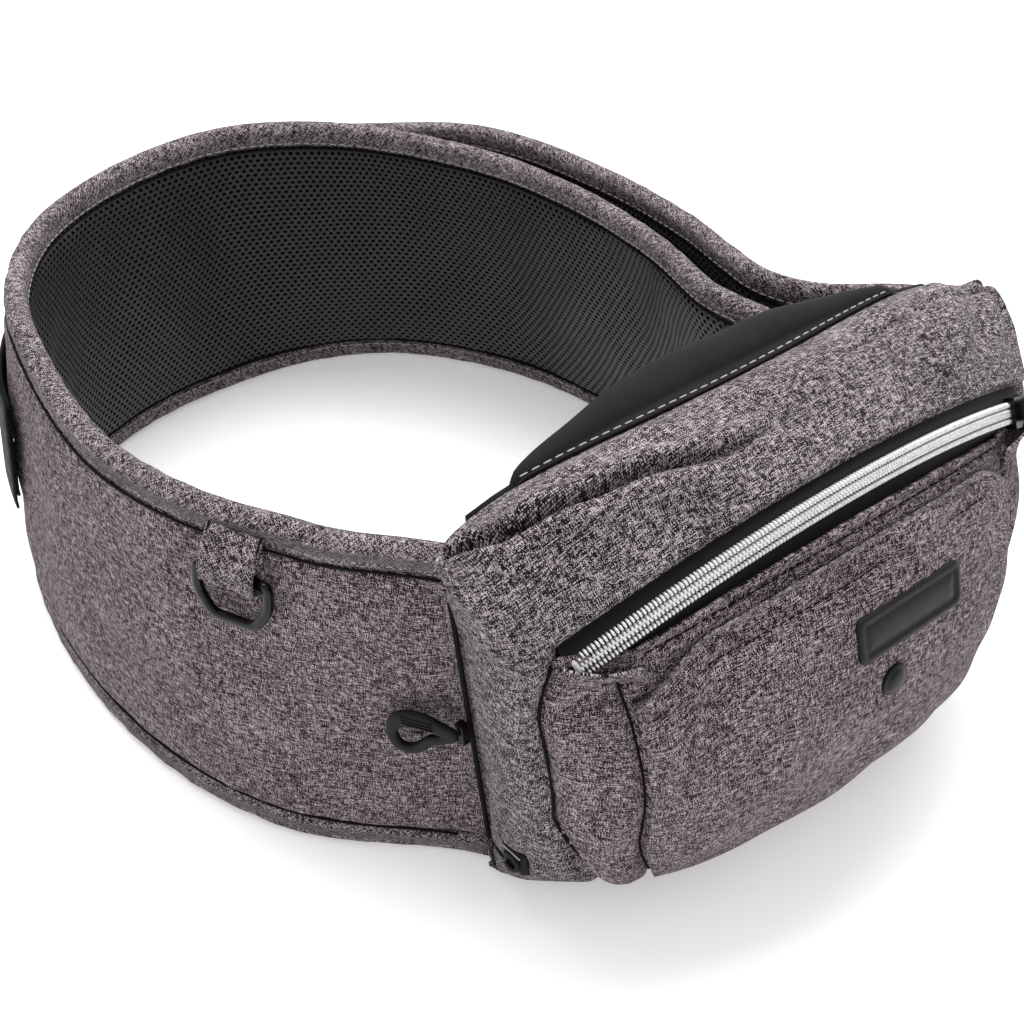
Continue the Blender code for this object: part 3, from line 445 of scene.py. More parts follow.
# ---------------------------------------------------------------- materials
class Nodes:
    """A small builder for one material's nodes."""

    def __init__(self, name, roughness=0.85, metallic=0.0, sheen=0.0, coat=0.0, specular=0.5):
        self.material = bpy.data.materials.new(name)
        self.material.use_nodes = True
        self.tree = self.material.node_tree
        self.shader = self.tree.nodes["Principled BSDF"]
        self.shader.inputs["Roughness"].default_value = roughness
        self.shader.inputs["Metallic"].default_value = metallic
        self.shader.inputs["Sheen Weight"].default_value = sheen
        self.shader.inputs["Sheen Roughness"].default_value = 0.45
        self.shader.inputs["Coat Weight"].default_value = coat
        self.shader.inputs["Specular IOR Level"].default_value = specular

    def put(self, socket, value):
        if isinstance(value, bpy.types.NodeSocket):
            self.tree.links.new(value, socket)
        else:
            socket.default_value = value

    def math(self, operation, *values):
        node = self.tree.nodes.new("ShaderNodeMath")
        node.operation = operation
        for socket, value in zip(node.inputs, values):
            self.put(socket, value)
        return node.outputs[0]

    def add(self, first, second):
        return self.math("ADD", first, second)

    def less(self, first, second):
        return self.math("SUBTRACT", first, second)

    def times(self, first, second):
        return self.math("MULTIPLY", first, second)

    def vector(self, x, y, z=0.0):
        node = self.tree.nodes.new("ShaderNodeCombineXYZ")
        for socket, value in zip(node.inputs, (x, y, z)):
            self.put(socket, value)
        return node.outputs[0]

    def noise(self, vector, scale, detail=2.0, rough=0.5):
        node = self.tree.nodes.new("ShaderNodeTexNoise")
        self.put(node.inputs["Vector"], vector)
        node.inputs["Scale"].default_value = scale
        node.inputs["Detail"].default_value = detail
        node.inputs["Roughness"].default_value = rough
        return node.outputs[0]

    def mix(self, factor, first, second):
        node = self.tree.nodes.new("ShaderNodeMix")
        node.data_type = "RGBA"
        self.put(node.inputs["Factor"], factor)
        self.put(node.inputs[6], first)
        self.put(node.inputs[7], second)
        return node.outputs[2]

    def ramp(self, value, stops):
        node = self.tree.nodes.new("ShaderNodeValToRGB")
        self.put(node.inputs[0], value)
        elements = node.color_ramp.elements
        elements[0].position, elements[0].color = stops[0]
        elements[1].position, elements[1].color = stops[-1]
        for position, colour in stops[1:-1]:
            elements.new(position).color = colour
        return node.outputs[0]

    def bump(self, height, distance, strength=1.0):
        node = self.tree.nodes.new("ShaderNodeBump")
        node.inputs["Strength"].default_value = strength
        node.inputs["Distance"].default_value = distance
        self.put(node.inputs["Height"], height)
        self.put(self.shader.inputs["Normal"], node.outputs[0])

    def colour(self, value):
        self.put(self.shader.inputs["Base Color"], value)

    def weave_coordinates(self, turn=0.0):
        """The weave's own coordinates, in metres, turned by an angle in degrees."""
        uv = self.tree.nodes.new("ShaderNodeUVMap")
        uv.uv_map = "weave"
        split = self.tree.nodes.new("ShaderNodeSeparateXYZ")
        self.tree.links.new(uv.outputs[0], split.inputs[0])
        u, v = split.outputs[0], split.outputs[1]
        if not turn:
            return u, v
        c, s = math.cos(math.radians(turn)), math.sin(math.radians(turn))
        across = self.less(self.times(u, c), self.times(v, s))
        along = self.add(self.times(u, s), self.times(v, c))
        return across, along

    def position(self):
        node = self.tree.nodes.new("ShaderNodeTexCoord")
        return node.outputs["Object"]


def heather(name, turn=0.0, light=1.0, plum=1.0):
    """Melange linen weave: every thread changes between dark plum and pale grey along its length, and the
    gaps between threads carry painted shade.
    """
    n = Nodes(name, roughness=0.95, sheen=0.04, specular=0.12)
    u, v = n.weave_coordinates(turn)
    wander = n.times(n.noise(n.vector(u, v), 90, 2.0), 1.2)
    along = n.add(n.times(u, 1 / YARN), wander)
    up = n.add(n.times(v, 1 / YARN), wander)
    row = n.times(n.math("FLOOR", up), 7.31)
    column = n.times(n.math("FLOOR", along), 5.17)
    weft = n.noise(n.vector(n.times(along, 0.13), row), 1.0, 2.0, 0.6)
    warp = n.noise(n.vector(column, n.times(up, 0.16), 9.0), 1.0, 2.0, 0.6)
    wave_u = n.math("SINE", n.times(along, math.pi))
    wave_v = n.math("SINE", n.times(up, math.pi))
    over = n.add(n.times(n.times(wave_u, wave_v), 1.3), 0.56)
    over.node.use_clamp = True
    under = n.less(1.0, over)
    shade = n.add(n.times(weft, over), n.times(warp, under))
    height = n.add(n.times(n.math("ABSOLUTE", wave_v), over),
                    n.times(n.math("ABSOLUTE", wave_u), under))
    broad = n.noise(n.vector(u, v), 30, 3.0)
    fleck = n.noise(n.vector(u, v), 2400, 1.0)
    shade = n.add(shade, n.times(n.less(fleck, 0.5), 0.20))
    shade = n.add(shade, n.times(n.less(broad, 0.5), 0.07))
    # painted shade: where the thread height is low, in the gaps between threads, the colour is pushed darker
    shade = n.add(shade, n.times(n.less(height, 0.62), 0.22))

    def tone(colour):
        grey = sum(colour[:3]) / 3
        return tuple(light * (grey + (c - grey) * plum) for c in colour[:3]) + (1,)

    stops = [(0.430, tone(PLUM_DARK)), (0.530, tone(PLUM_MID)), (0.630, tone(PLUM_PALE))]
    n.colour(n.ramp(shade, stops))
    n.bump(n.add(height, n.times(shade, 1.2)), 0.00025, 0.6)
    return n.material


def spacer_mesh(name):
    """Black 3-D knit: staggered rows of small oval holes with soft ridges between."""
    n = Nodes(name, roughness=0.42, sheen=0.0, specular=0.5)
    u, v = n.weave_coordinates()
    across = n.times(u, 1 / MESH_HOLE_PITCH[0])
    up = n.times(v, 1 / MESH_HOLE_PITCH[1])
    stagger = n.times(n.math("FLOORED_MODULO", n.math("FLOOR", up), 2.0), 0.5)
    cell_u = n.less(n.math("FRACT", n.add(across, stagger)), 0.5)
    cell_v = n.less(n.math("FRACT", up), 0.5)
    stretch_u = n.times(cell_u, 1.45)
    distance = n.math("SQRT", n.add(n.times(stretch_u, stretch_u),
                                     n.times(cell_v, cell_v)))
    hole = n.ramp(distance, [(0.24, (0, 0, 0, 1)), (0.44, (1, 1, 1, 1))])
    fuzz = n.noise(n.vector(u, v), 3200, 2.0)
    knit = n.times(fuzz, 0.5)
    ridge = n.mix(knit, (0.003, 0.003, 0.0033, 1), (0.042, 0.042, 0.043, 1))
    n.colour(n.mix(hole, (0.0006, 0.0006, 0.0007, 1), ridge))
    n.put(n.shader.inputs["Specular IOR Level"], n.times(hole, 0.5))
    n.bump(n.add(hole, n.times(fuzz, 0.25)), 0.0013, 1.0)
    return n.material


def ribbed_black(name, pitch=0.0011, slant=45.0, colour=SOFT_BLACK):
    """Black webbing or tape: fine slanted ribs that turn in a herringbone."""
    n = Nodes(name, roughness=0.7, sheen=0.02, specular=0.2)
    u, v = n.weave_coordinates()
    fold = n.math("PINGPONG", v, 0.0042)
    slope = math.tan(math.radians(slant))
    rib = n.math("SINE", n.times(n.add(u, n.times(fold, slope)),
                                2 * math.pi / pitch))
    fuzz = n.noise(n.vector(u, v), 2600, 2.0)
    tone = n.add(n.times(rib, 0.30), n.times(fuzz, 0.7))
    low = tuple(0.45 * c for c in colour[:3]) + (1,)
    high = tuple(2.3 * c for c in colour[:3]) + (1,)
    n.colour(n.ramp(tone, [(0.05, low), (0.85, high)]))
    n.bump(n.add(rib, fuzz), 0.00022, 0.8)
    return n.material


def smooth_black_cloth(name):
    """Tight black cloth with a fine even weave and a faint sheen."""
    n = Nodes(name, roughness=0.66, sheen=0.02, specular=0.16)
    u, v = n.weave_coordinates()
    rib = n.times(n.math("SINE", n.times(u, 2 * math.pi / 0.0007)),
                 n.math("SINE", n.times(v, 2 * math.pi / 0.0007)))
    patch = n.noise(n.vector(u, v), 60, 3.0)
    n.colour(n.ramp(n.add(patch, n.times(rib, 0.1)),
                    [(0.30, (0.0035, 0.0035, 0.0038, 1)), (0.75, (0.0085, 0.0085, 0.0090, 1))]))
    n.bump(n.add(rib, patch), 0.00012, 0.6)
    return n.material


def moulded(name, colour=BLACK, roughness=0.42, coat=0.0):
    """Moulded plastic or painted metal, with a fine grain and rubbed spots."""
    n = Nodes(name, roughness=roughness, coat=coat, specular=0.18)
    place = n.position()
    fine = n.noise(place, 3000, 2.0)
    rubbed = n.noise(place, 140, 4.0, 0.6)
    light = tuple(min(1.0, 1.9 * c + 0.002) for c in colour[:3]) + (1,)
    n.colour(n.mix(n.times(rubbed, 0.5), colour, light))
    n.put(n.shader.inputs["Roughness"],
          n.add(n.times(n.less(rubbed, 0.5), 0.22), roughness))
    n.bump(fine, 0.00006, 0.6)
    return n.material


def leather(name):
    n = Nodes(name, roughness=0.46, specular=0.20)
    place = n.position()
    cells = n.tree.nodes.new("ShaderNodeTexVoronoi")
    cells.feature = "DISTANCE_TO_EDGE"
    cells.inputs["Scale"].default_value = 1300
    n.put(cells.inputs["Vector"], place)
    grain = n.math("MINIMUM", cells.outputs["Distance"], 0.16)
    cloudy = n.noise(place, 260, 3.0)
    n.colour(n.ramp(cloudy, [(0.30, (0.0018, 0.0017, 0.0018, 1)), (0.75, (0.0050, 0.0047, 0.0049, 1))]))
    n.put(n.shader.inputs["Roughness"], n.add(n.times(cloudy, 0.25), 0.33))
    n.bump(n.add(n.times(grain, 4.0), cloudy), 0.00012, 0.7)
    return n.material


def thread(name, colour):
    n = Nodes(name, roughness=0.85, specular=0.15)
    fuzz = n.noise(n.position(), 2200, 2.0)
    dark = tuple(0.55 * c for c in colour[:3]) + (1,)
    n.colour(n.mix(fuzz, dark, colour))
    n.bump(fuzz, 0.00010, 0.6)
    return n.material


def coil(name):
    """The zip's coil: silvered plastic, a little uneven."""
    n = Nodes(name, roughness=0.30, metallic=0.25, coat=0.3)
    spots = n.noise(n.position(), 900, 3.0)
    n.colour(n.ramp(spots, [(0.25, (0.52, 0.52, 0.53, 1)), (0.70, (0.80, 0.80, 0.81, 1))]))
    n.put(n.shader.inputs["Roughness"], n.add(n.times(spots, 0.25), 0.20))
    n.bump(spots, 0.00008, 0.5)
    return n.material


HEATHER = heather("heather_belt")
HEATHER_BAG = heather("heather_bag", light=1.04)
# painted light: a paler, less plum copy of the heather standing in for the seat's lit top; it covers the
# whole seat shell and the side zip's backing
HEATHER_SEAT_PAINTED_LIT = heather("heather_seat_painted_lit", light=1.08, plum=0.72)
BIAS = heather("heather_bias", turn=45.0, light=1.08, plum=0.8)
SPACER = spacer_mesh("spacer_mesh_black")
WEBBING = ribbed_black("webbing_black")
TAPE = ribbed_black("zip_tape_black", pitch=0.0009, slant=60.0, colour=(0.0045, 0.0045, 0.0050, 1))
BLACK_CLOTH = smooth_black_cloth("black_tight_cloth")
PLASTIC = moulded("black_moulded_plastic")
RUBBER = moulded("black_soft_moulding", colour=(0.0026, 0.0026, 0.0028, 1), roughness=0.58)
GLOSS = moulded("black_gloss_metal", colour=(0.0012, 0.0012, 0.0014, 1), roughness=0.14, coat=0.10)
LEATHER = leather("black_leather_patch")
DARK_THREAD = thread("dark_thread", THREAD_DARK)
PALE_THREAD = thread("pale_thread", THREAD_PALE)
COIL = coil("silver_coil")


# ---------------------------------------------------------------- belt wings
def wing_half(path, s, z):
    """Half the belt's thickness where a point stands, z above its lower edge: plump between the seams."""
    tall = belt_height(path, s)
    edge = BINDING_TALL - 0.0006
    t = np.clip((z - edge) / (tall - 2 * edge), 0.0, 1.0)
    plump = 0.0031 + 0.0036 * math.sin(math.pi * t) ** 0.30
    at_seam = smoothstep(0.0, 0.016, s)
    at_end = smoothstep(0.0, 0.012, path.length - s)
    return 0.0018 + (plump - 0.0018) * (0.25 + 0.75 * at_seam) * (0.35 + 0.65 * at_end)


def run_on(path, s, height, offset):
    """A point of the belt that runs straight on past either end of its path."""
    beyond = min(s, 0.0) + max(s - path.length, 0.0)
    spot = belt_point(path, min(max(s, 0.0), path.length), height, offset)
    spot[:2] += path.tangent(min(max(s, 0.0), path.length)) * beyond
    return spot


def wing_face(path, sign, seed, buckle, reach):
    """The outer (sign 1) or inner (sign -1) face of a wing, between its bindings."""
    stations = np.linspace(-reach[0], path.length + reach[1], int(path.length / GRID_STEP))
    shares = np.linspace(0, 1, 34)
    points = np.zeros((len(shares), len(stations), 3))
    uvs = np.zeros((len(shares), len(stations), 2))
    for j, s in enumerate(stations):
        tall = belt_height(path, s)
        for i, share in enumerate(shares):
            z = BINDING_TALL - 0.0012 + (tall - 2 * BINDING_TALL + 0.0024) * share
            middle = math.sin(math.pi * share) ** 0.5 if 0 < share < 1 else 0.0
            near = math.exp(-min(share, 1 - share) * tall / 0.011)
            soft = buckle * ripple(s, z * 0.35, 0.055, seed) * middle
            fold = 0.0007 * ripple(s, z, 0.032, seed + 1) * middle
            pucker = 0.00035 * ripple(s, 0.0, 0.009, seed + 2) * near
            offset = sign * (wing_half(path, s, z) + soft + fold + pucker)
            points[i, j] = run_on(path, s, z / tall, offset)
            uvs[i, j] = (s, z)
    return points, uvs


def binding_rings(path, start, end, upper, seed):
    """Rings of the folded binding: a plump roll over the edge, pinched at its seam."""
    count = int((end - start) / 0.0045)
    profile = []
    for a in np.linspace(0, math.pi, 9):
        profile.append((BINDING_HALF * math.cos(a), BINDING_HALF * (math.sin(a) - 1)))
    waist = ((1.02, -0.0075), (0.88, -0.0098), (0.62, -BINDING_TALL))
    side = [(-BINDING_HALF * width, z) for width, z in waist]
    profile += side + [(-x, z) for x, z in reversed(side)]
    rings = []
    for s in np.linspace(start, end, count + 1):
        tall = belt_height(path, s)
        ring = []
        for k, (x, z) in enumerate(profile):
            swell = 1 + 0.07 * float(ripple(s, k * 0.004, 0.011, seed))
            height = 1 + z / tall if upper else -z / tall
            ring.append(run_on(path, s, height, x * swell))
        rings.append(ring)
    return rings


def end_binding(name, path, s, look, body):
    """The bound end of a wing: a roll up its free edge."""
    tall = belt_height(path, s)
    tangent = np.array([*path.tangent(min(s, path.length)), 0.0])
    out = np.array([*path.outward(s), 0.0])
    rings = []
    for z in np.linspace(0.0030, tall - 0.0030, 30):
        middle = run_on(path, s, z / tall, 0.0)
        ring = []
        for a in np.linspace(0, 2 * math.pi, 14, endpoint=False):
            along = math.cos(a) * 0.0052 - 0.0016
            ring.append(middle + tangent * along + out * math.sin(a) * BINDING_HALF)
        rings.append(ring)
    return swept(name, rings, look, body)


def build_wing(side, path, body, reach):
    nodes = {k: f"{side}_wing_{k}" for k in
             ("outer_shell", "foam_pad", "mesh_lining", "top_binding", "bottom_binding")}
    outer, outer_uv = wing_face(path, 1, 11, 0.0006, reach)
    cloth = cloth_sheet(f"{side}_belt_cloth", outer, HEATHER, body, (nodes["outer_shell"], nodes["foam_pad"]),
                        uvs=outer_uv, flip=path.side > 0)
    inner, inner_uv = wing_face(path, -1, 23, 0.0021, reach)
    lining = cloth_sheet(f"{side}_belt_lining", inner, SPACER, body, (nodes["mesh_lining"],),
                         uvs=inner_uv, flip=path.side < 0)
    for upper, node in ((True, "top_binding"), (False, "bottom_binding")):
        label = "top" if upper else "bottom"
        start = (-0.4 if upper else -0.9) * reach[0]
        rings = binding_rings(path, start, path.length + reach[1], upper, 31)
        swept(f"{side}_belt_{label}_binding", rings, BIAS, body, (nodes[node],))
        for sign, face in ((1, "outer"), (-1, "inner")):
            line = []
            out = []
            for s in np.linspace(0.003, path.length - 0.003, 160):
                tall = belt_height(path, s)
                z = tall - BINDING_TALL if upper else BINDING_TALL
                line.append(belt_point(path, s, z / tall, sign * 0.0040))
                out.append([*(path.outward(s) * sign), 0.0])
            tube(f"{side}_{face}_{label}_seam", line, 0.00050, DARK_THREAD, body, sides=6)
            if sign < 0:
                raised = []
                for s in np.linspace(0.003, path.length - 0.003, 160):
                    tall = belt_height(path, s)
                    z = tall - BINDING_TALL + 0.0026 if upper else BINDING_TALL - 0.0026
                    raised.append(belt_point(path, s, z / tall, -0.0042))
                stitches(f"{side}_{face}_{label}_stitches", raised, out, PALE_THREAD, body)
    end_binding(f"{side}_wing_end_binding", path, path.length + reach[1] - 0.0012, BIAS, body)


# ---------------------------------------------------------------- seat
WALL = 0.36
WALL_END = 0.0084
COVER_HEM = 7.18
BAG_HEM = 6.38


def seat_shell_point(a, v):
    """The seat's cloth: its face for a within -1..1, and its end walls beyond."""
    q = min(abs(a), 1.0)
    here = cover(math.copysign(q, a) if a else 0.0, v)
    if abs(a) <= 1:
        return here
    t = (abs(a) - 1) / WALL
    depth = max(SEAT_BACK_Y - here[1], WALL_END)
    y = SEAT_BACK_Y - (depth * (1 - t) + WALL_END * t)
    room = float(smoothstep(0.0, 0.012, SEAT_BACK_Y - here[1] - WALL_END))
    bulge = room * (0.0022 * math.sin(math.pi * min(t * 1.1, 1.0)) - 0.0040 * smoothstep(0.86, 1.0, t))
    x = math.copysign(half_width(here[2]) * SIDE_U + 0.0030 + bulge, a)
    return np.array([x, y, here[2]])


def gusset_edge(v):
    """Where the bag's gusset is sewn to the seat: it draws in below and beside the zip."""
    low = np.clip((3.6 - v) / 2.6, 0, 1)
    high = np.clip((v - 5.6) / 1.2, 0, 1)
    return 0.985 - 0.27 * low ** 1.3 - 0.060 * high ** 1.5


def front_edge(v):
    """Where the bag's front is sewn to its gusset."""
    return BAG_SIDE_SEAM - 0.20 * np.clip((3.2 - v) / 2.2, 0, 1) ** 1.4


def bag_top(u):
    """The bag's upper hem: level under the zip, and rising round the zip's ends."""
    return BAG_HEM + 0.66 * smoothstep(0.70, 0.92, abs(u))


def build_seat():
    walls = np.linspace(0, WALL, 16)[1:]
    face = np.linspace(-1, 1, 92)
    columns = np.concatenate([-1 - walls[::-1], face, 1 + walls])
    levels = np.concatenate([np.linspace(0, 6.3, 54)[:-1], np.linspace(6.3, COVER_HEM - 0.08, 8),
                             np.linspace(COVER_HEM - 0.05, COVER_HEM + 0.12, 12),
                             np.linspace(COVER_HEM + 0.18, 11.0, 56)])
    points = np.array([[seat_shell_point(a, v) for a in columns] for v in levels])
    for _ in range(7):
        corner = (np.abs(np.abs(columns) - 1.0) < 0.11)[1:-1]
        middle = (points[:, :-2] + 2 * points[:, 1:-1] + points[:, 2:]) / 4
        points[:, 1:-1][:, corner] = middle[:, corner]
    a, v = np.meshgrid(columns, levels)
    flat = points.copy()
    spread = lengths_of(points)
    edge = gusset_edge(v)
    side = np.abs(a)
    push = np.zeros_like(a)
    under_bag = smoothstep(0.0, 0.035, edge - 0.012 - side) * smoothstep(0.6, 1.1, v)
    push -= 0.0065 * under_bag * (1 - smoothstep(COVER_HEM - 0.03, COVER_HEM + 0.02, v))
    in_zip = smoothstep(0, 0.02, 0.93 - side) * (1 - smoothstep(COVER_HEM, COVER_HEM + 0.14, v)) * (v > 6.0)
    push -= 0.0010 * in_zip
    groove = np.exp(-((side - edge) / 0.020) ** 2) * smoothstep(0.9, 1.3, v) * (1 - smoothstep(6.8, 7.1, v))
    push -= 0.0050 * groove
    on_top = smoothstep(7.3, 8.2, v) * (1 - smoothstep(10.1, 10.7, v))
    push += 0.0014 * smoothstep(COVER_HEM, COVER_HEM + 0.1, v) * (1 - smoothstep(10.1, 10.7, v))
    crease = 10.10 - 0.75 * smoothstep(-1.0, -0.86, a) - 0.40 * smoothstep(-0.88, -0.55, a)
    crease -= 0.75 * smoothstep(-0.60, -0.20, a)
    fade = 1 - smoothstep(-0.55, 0.10, a)
    push -= 0.0068 * fade * np.exp(-((v - crease) / 0.12) ** 2)
    push += 0.0026 * fade * np.exp(-((v - crease - 0.38) / 0.24) ** 2)
    push += 0.0022 * fade * np.exp(-((v - crease + 0.42) / 0.28) ** 2)
    push += 0.0020 * on_top * smoothstep(0.25, 0.7, a) * ripple(spread[..., 0], spread[..., 1], 0.045, 5)
    push += 0.0012 * on_top * ripple(spread[..., 0], spread[..., 1], 0.030, 6)
    second = 9.0 + 0.5 * smoothstep(0.0, 0.9, a)
    push -= 0.0020 * smoothstep(0.05, 0.35, a) * np.exp(-((v - second) / 0.16) ** 2)
    on_wall = smoothstep(1.0, 1.06, side) * (1 - smoothstep(9.6, 10.2, v))
    push += 0.0012 * on_wall * ripple(spread[..., 0], spread[..., 1] * 0.4, 0.030, 7)
    push -= 0.0012 * np.exp(-((points[..., 2] - 0.0185) / 0.0013) ** 2) * on_wall
    points += normals_of(points) * push[..., None]
    # the seat's cloth wears the paler copy of the heather, painted light standing in for its lit top
    shell = cloth_sheet("seat_cloth", points, HEATHER_SEAT_PAINTED_LIT, "seat",
                        ("seat_top_cover", "left_seat_side_panel", "right_seat_side_panel",
                         "seat_foam_core", "seat_bottom_panel", "bag_back_panel"),
                        uvs=weave_flat(flat, columns, levels))
    for sign, name in ((-1, "left"), (1, "right")):
        line = []
        for t in np.linspace(0.03, 0.88, 30):
            spot = seat_shell_point(sign * (1 + WALL * t), 2.0)
            line.append(np.array([spot[0] - sign * 0.0006, spot[1], 0.0185]))
        tube(f"{name}_side_hem_thread", line, 0.0004, DARK_THREAD, "seat", sides=6)
    return shell


def weave_flat(points, columns, levels):
    """Weave coordinates that stay square to the cloth: each row and column keeps its mean spacing."""
    across = np.linalg.norm(np.diff(points, axis=1), axis=2)
    along = np.linalg.norm(np.diff(points, axis=0), axis=2)
    middle = (levels > 3.0) & (levels < 10.0)
    u = np.concatenate([[0.0], np.cumsum(across[middle].mean(axis=0))])
    keep = np.abs(columns) < 1.3
    v = np.concatenate([[0.0], np.cumsum(along[:, keep].mean(axis=1))])
    grid_u, grid_v = np.meshgrid(u, v)
    return np.stack([grid_u, grid_v], axis=2)


TOP_OF_FACE = 10.97
STRIP_HALF = 0.78
LIP_DEPTH = 0.0160
LIP_RISE = 0.0060
LIP_PROFILE = [np.array(p) for p in
               ((0.0, 0.0), (0.22, 0.55), (0.52, 0.92), (0.80, 0.88), (1.00, 0.30), (0.98, -0.60),
                (0.70, -1.60), (0.20, -2.40))]


def lens(u):
    """The black strip's fullness: 1 in the middle of the seat, and nothing at the strip's ends."""
    return 1 - (min(abs(u), STRIP_HALF) / (STRIP_HALF + 0.01)) ** 1.9


def lens_low(u):
    return line_at("top_back") - 0.44 * lens(u)


def build_strip():
    """The black cloth on the wearer's edge: a lens with a pale stitch line, rolled over the back panel."""
    columns = np.linspace(-STRIP_HALF, STRIP_HALF, 90)
    shares = np.linspace(0, 1, 8)
    turns = np.linspace(0, len(LIP_PROFILE) - 1, 24)[1:]
    points = np.zeros((len(shares) + len(turns), len(columns), 3))
    for j, u in enumerate(columns):
        low = lens_low(u)
        settle = float(smoothstep(0.0, 0.10, STRIP_HALF - abs(u)))
        for i, share in enumerate(shares):
            v = low + (line_at("top_back") - low) * share
            spot, _, _, normal = cover_frame(u, min(v, TOP_OF_FACE))
            points[i, j] = spot + normal * (-0.0040 + 0.0056 * settle)
        edge = points[len(shares) - 1, j]
        for i, turn in enumerate(turns):
            back, up = catmull(LIP_PROFILE, turn)
            soft = 1 + 0.06 * float(ripple(u * 0.1, i * 0.001, 0.030, 51))
            roll = np.array([0.0, back * LIP_DEPTH, up * LIP_RISE])
            points[len(shares) + i, j] = edge + lens(u) * soft * roll
    cloth_sheet("wearer_side_strip", points, BLACK_CLOTH, "seat", ("body_side_strip",), thick=0.0010)
    line, out = surface_line((u, min(lens_low(u) + 0.06, TOP_OF_FACE), 0.0020)
                             for u in np.linspace(-0.70, 0.70, 120))
    stitches("strip_stitches", line, out, PALE_THREAD, "seat", length=0.0030, gap=0.0014)


def build_back_panel():
    """The wearer's side: a padded mesh panel with sewn channels and a bound edge."""
    low = 0.0045
    rows, cols = 44, 64
    points = np.zeros((rows, cols, 3))
    for i, share in enumerate(np.linspace(0, 1, rows)):
        for j, u in enumerate(np.linspace(0.86, -0.86, cols)):
            z = low + (cover(u, 11)[2] - 0.0012 - low) * share
            edge = min(1.0, (1 - abs(u) / 0.86) / 0.08, share / 0.07, (1 - share) / 0.07)
            channel = min(abs(share - 0.35), abs(share - 0.68))
            puff = 0.0034 * math.sqrt(max(edge, 0.0)) - 0.0016 * math.exp(-(channel / 0.022) ** 2)
            points[i, j] = (u * half_width(z), SEAT_BACK_Y + 0.0008 + puff, z)
    pad = cloth_sheet("back_mesh_pad", points, SPACER, "seat", ("seat_back_panel", "seat_support_plate"))
    outline = [(-0.86, 0.0), (0.86, 0.0), (0.86, 1.0), (-0.86, 1.0)]
    line = []
    for (u0, s0), (u1, s1) in zip(outline, outline[1:] + outline[:1]):
        for t in np.linspace(0, 1, 20, endpoint=False):
            u = u0 + (u1 - u0) * t
            z = low + (cover(u, 11)[2] - 0.0012 - low) * (s0 + (s1 - s0) * t)
            line.append(np.array([u * half_width(z), SEAT_BACK_Y + 0.0014, z]))
    tube("back_panel_piping", line, 0.0013, BLACK_CLOTH, "seat", closed=True)


# ---------------------------------------------------------------- bag and pocket
POCKET_LOW = 2.15
POCKET_TOP = 5.97


def build_bag():
    spans = np.linspace(-1, 1, 150)
    rises = np.linspace(0, 1, 80)
    count = (len(rises), len(spans))
    points, a, v = np.zeros((*count, 3)), np.zeros(count), np.zeros(count)
    for i, rise in enumerate(rises):
        for j, span in enumerate(spans):
            level = 1.02 + (bag_top(span * 0.93) - 1.02) * rise
            u = span * float(gusset_edge(level))
            points[i, j], a[i, j], v[i, j] = cover(u, level), u, level
    spread = weave_flat(points, spans, rises * 5 + 4)
    side = np.abs(a)
    seam, edge, top = front_edge(v), gusset_edge(v), bag_top(a)
    push = np.full_like(a, -0.0004)
    on_gusset = smoothstep(0.0, 0.05, side - seam)
    bulge = np.sin(math.pi * np.clip((side - seam) / (edge - seam), 0, 1))
    push += 0.0030 * bulge * smoothstep(1.1, 2.6, v) * (1 - 0.6 * smoothstep(5.4, 6.6, v))
    push -= 0.0026 * np.exp(-((side - seam) / 0.010) ** 2) * (1 - smoothstep(6.05, 6.3, v))
    push -= 0.0042 * smoothstep(0.0, 0.030, side - edge + 0.030)
    push -= 0.0022 * (1 - smoothstep(1.02, 1.35, v))
    push += 0.0012 * on_gusset * ripple(spread[..., 0], spread[..., 1], 0.022, 9)
    brow = smoothstep(5.85, 6.0, v)
    push += 0.0012 * brow + 0.0004 * brow * ripple(spread[..., 0], spread[..., 1], 0.02, 10)
    push -= 0.0012 * np.exp(-((v - (top - 0.20)) / 0.035) ** 2)
    push += 0.0009 * smoothstep(0.0, 0.10, v - top + 0.16)
    points += normals_of(points) * push[..., None]
    cloth_sheet("bag_cloth", points, HEATHER_BAG, "seat",
                ("bag_front_panel", "left_bag_gusset", "right_bag_gusset"), uvs=spread, thick=0.0016)
    for sign, name in ((-1, "left"), (1, "right")):
        front, _ = surface_line((sign * float(front_edge(level)), level, -0.0021)
                                for level in np.linspace(1.15, BAG_HEM - 0.1, 60))
        tube(f"{name}_bag_front_seam", front, 0.0005, DARK_THREAD, "seat", sides=6)
        # painted shade: a dark thread-coloured tube sunk in the crease where the gusset meets the seat wall;
        # it stands for the seam and paints the shadow line along it
        outer, _ = surface_line((sign * (float(gusset_edge(level)) + 0.001), level, -0.0038)
                                for level in np.linspace(1.10, 6.85, 80))
        tube(f"{name}_gusset_seam_shade_line", outer, 0.0006, DARK_THREAD, "seat", sides=6)
    line, out = surface_line((u, BAG_HEM - 0.20, 0.0004) for u in np.linspace(-0.70, 0.70, 140))
    stitches("bag_hem_stitches", line, out, DARK_THREAD, "seat", length=0.0024, gap=0.0009)


def pocket_half(v):
    return float(front_edge(v)) - 0.012


def pocket_top(u):
    return POCKET_TOP - 0.50 * float(smoothstep(0.52, 0.77, abs(u)))


def pocket_lift(u, v):
    """How far the pocket stands off the bag: it bellies in the middle and lies close at its sewn edges."""
    side = max(1 - abs(u) / pocket_half(v), 0.0)
    low = max((v - POCKET_LOW) / (POCKET_TOP - POCKET_LOW), 0.0)
    return 0.0014 + 0.0020 * min(1.0, side / 0.22) ** 0.6 * min(1.0, low / 0.25) ** 0.6


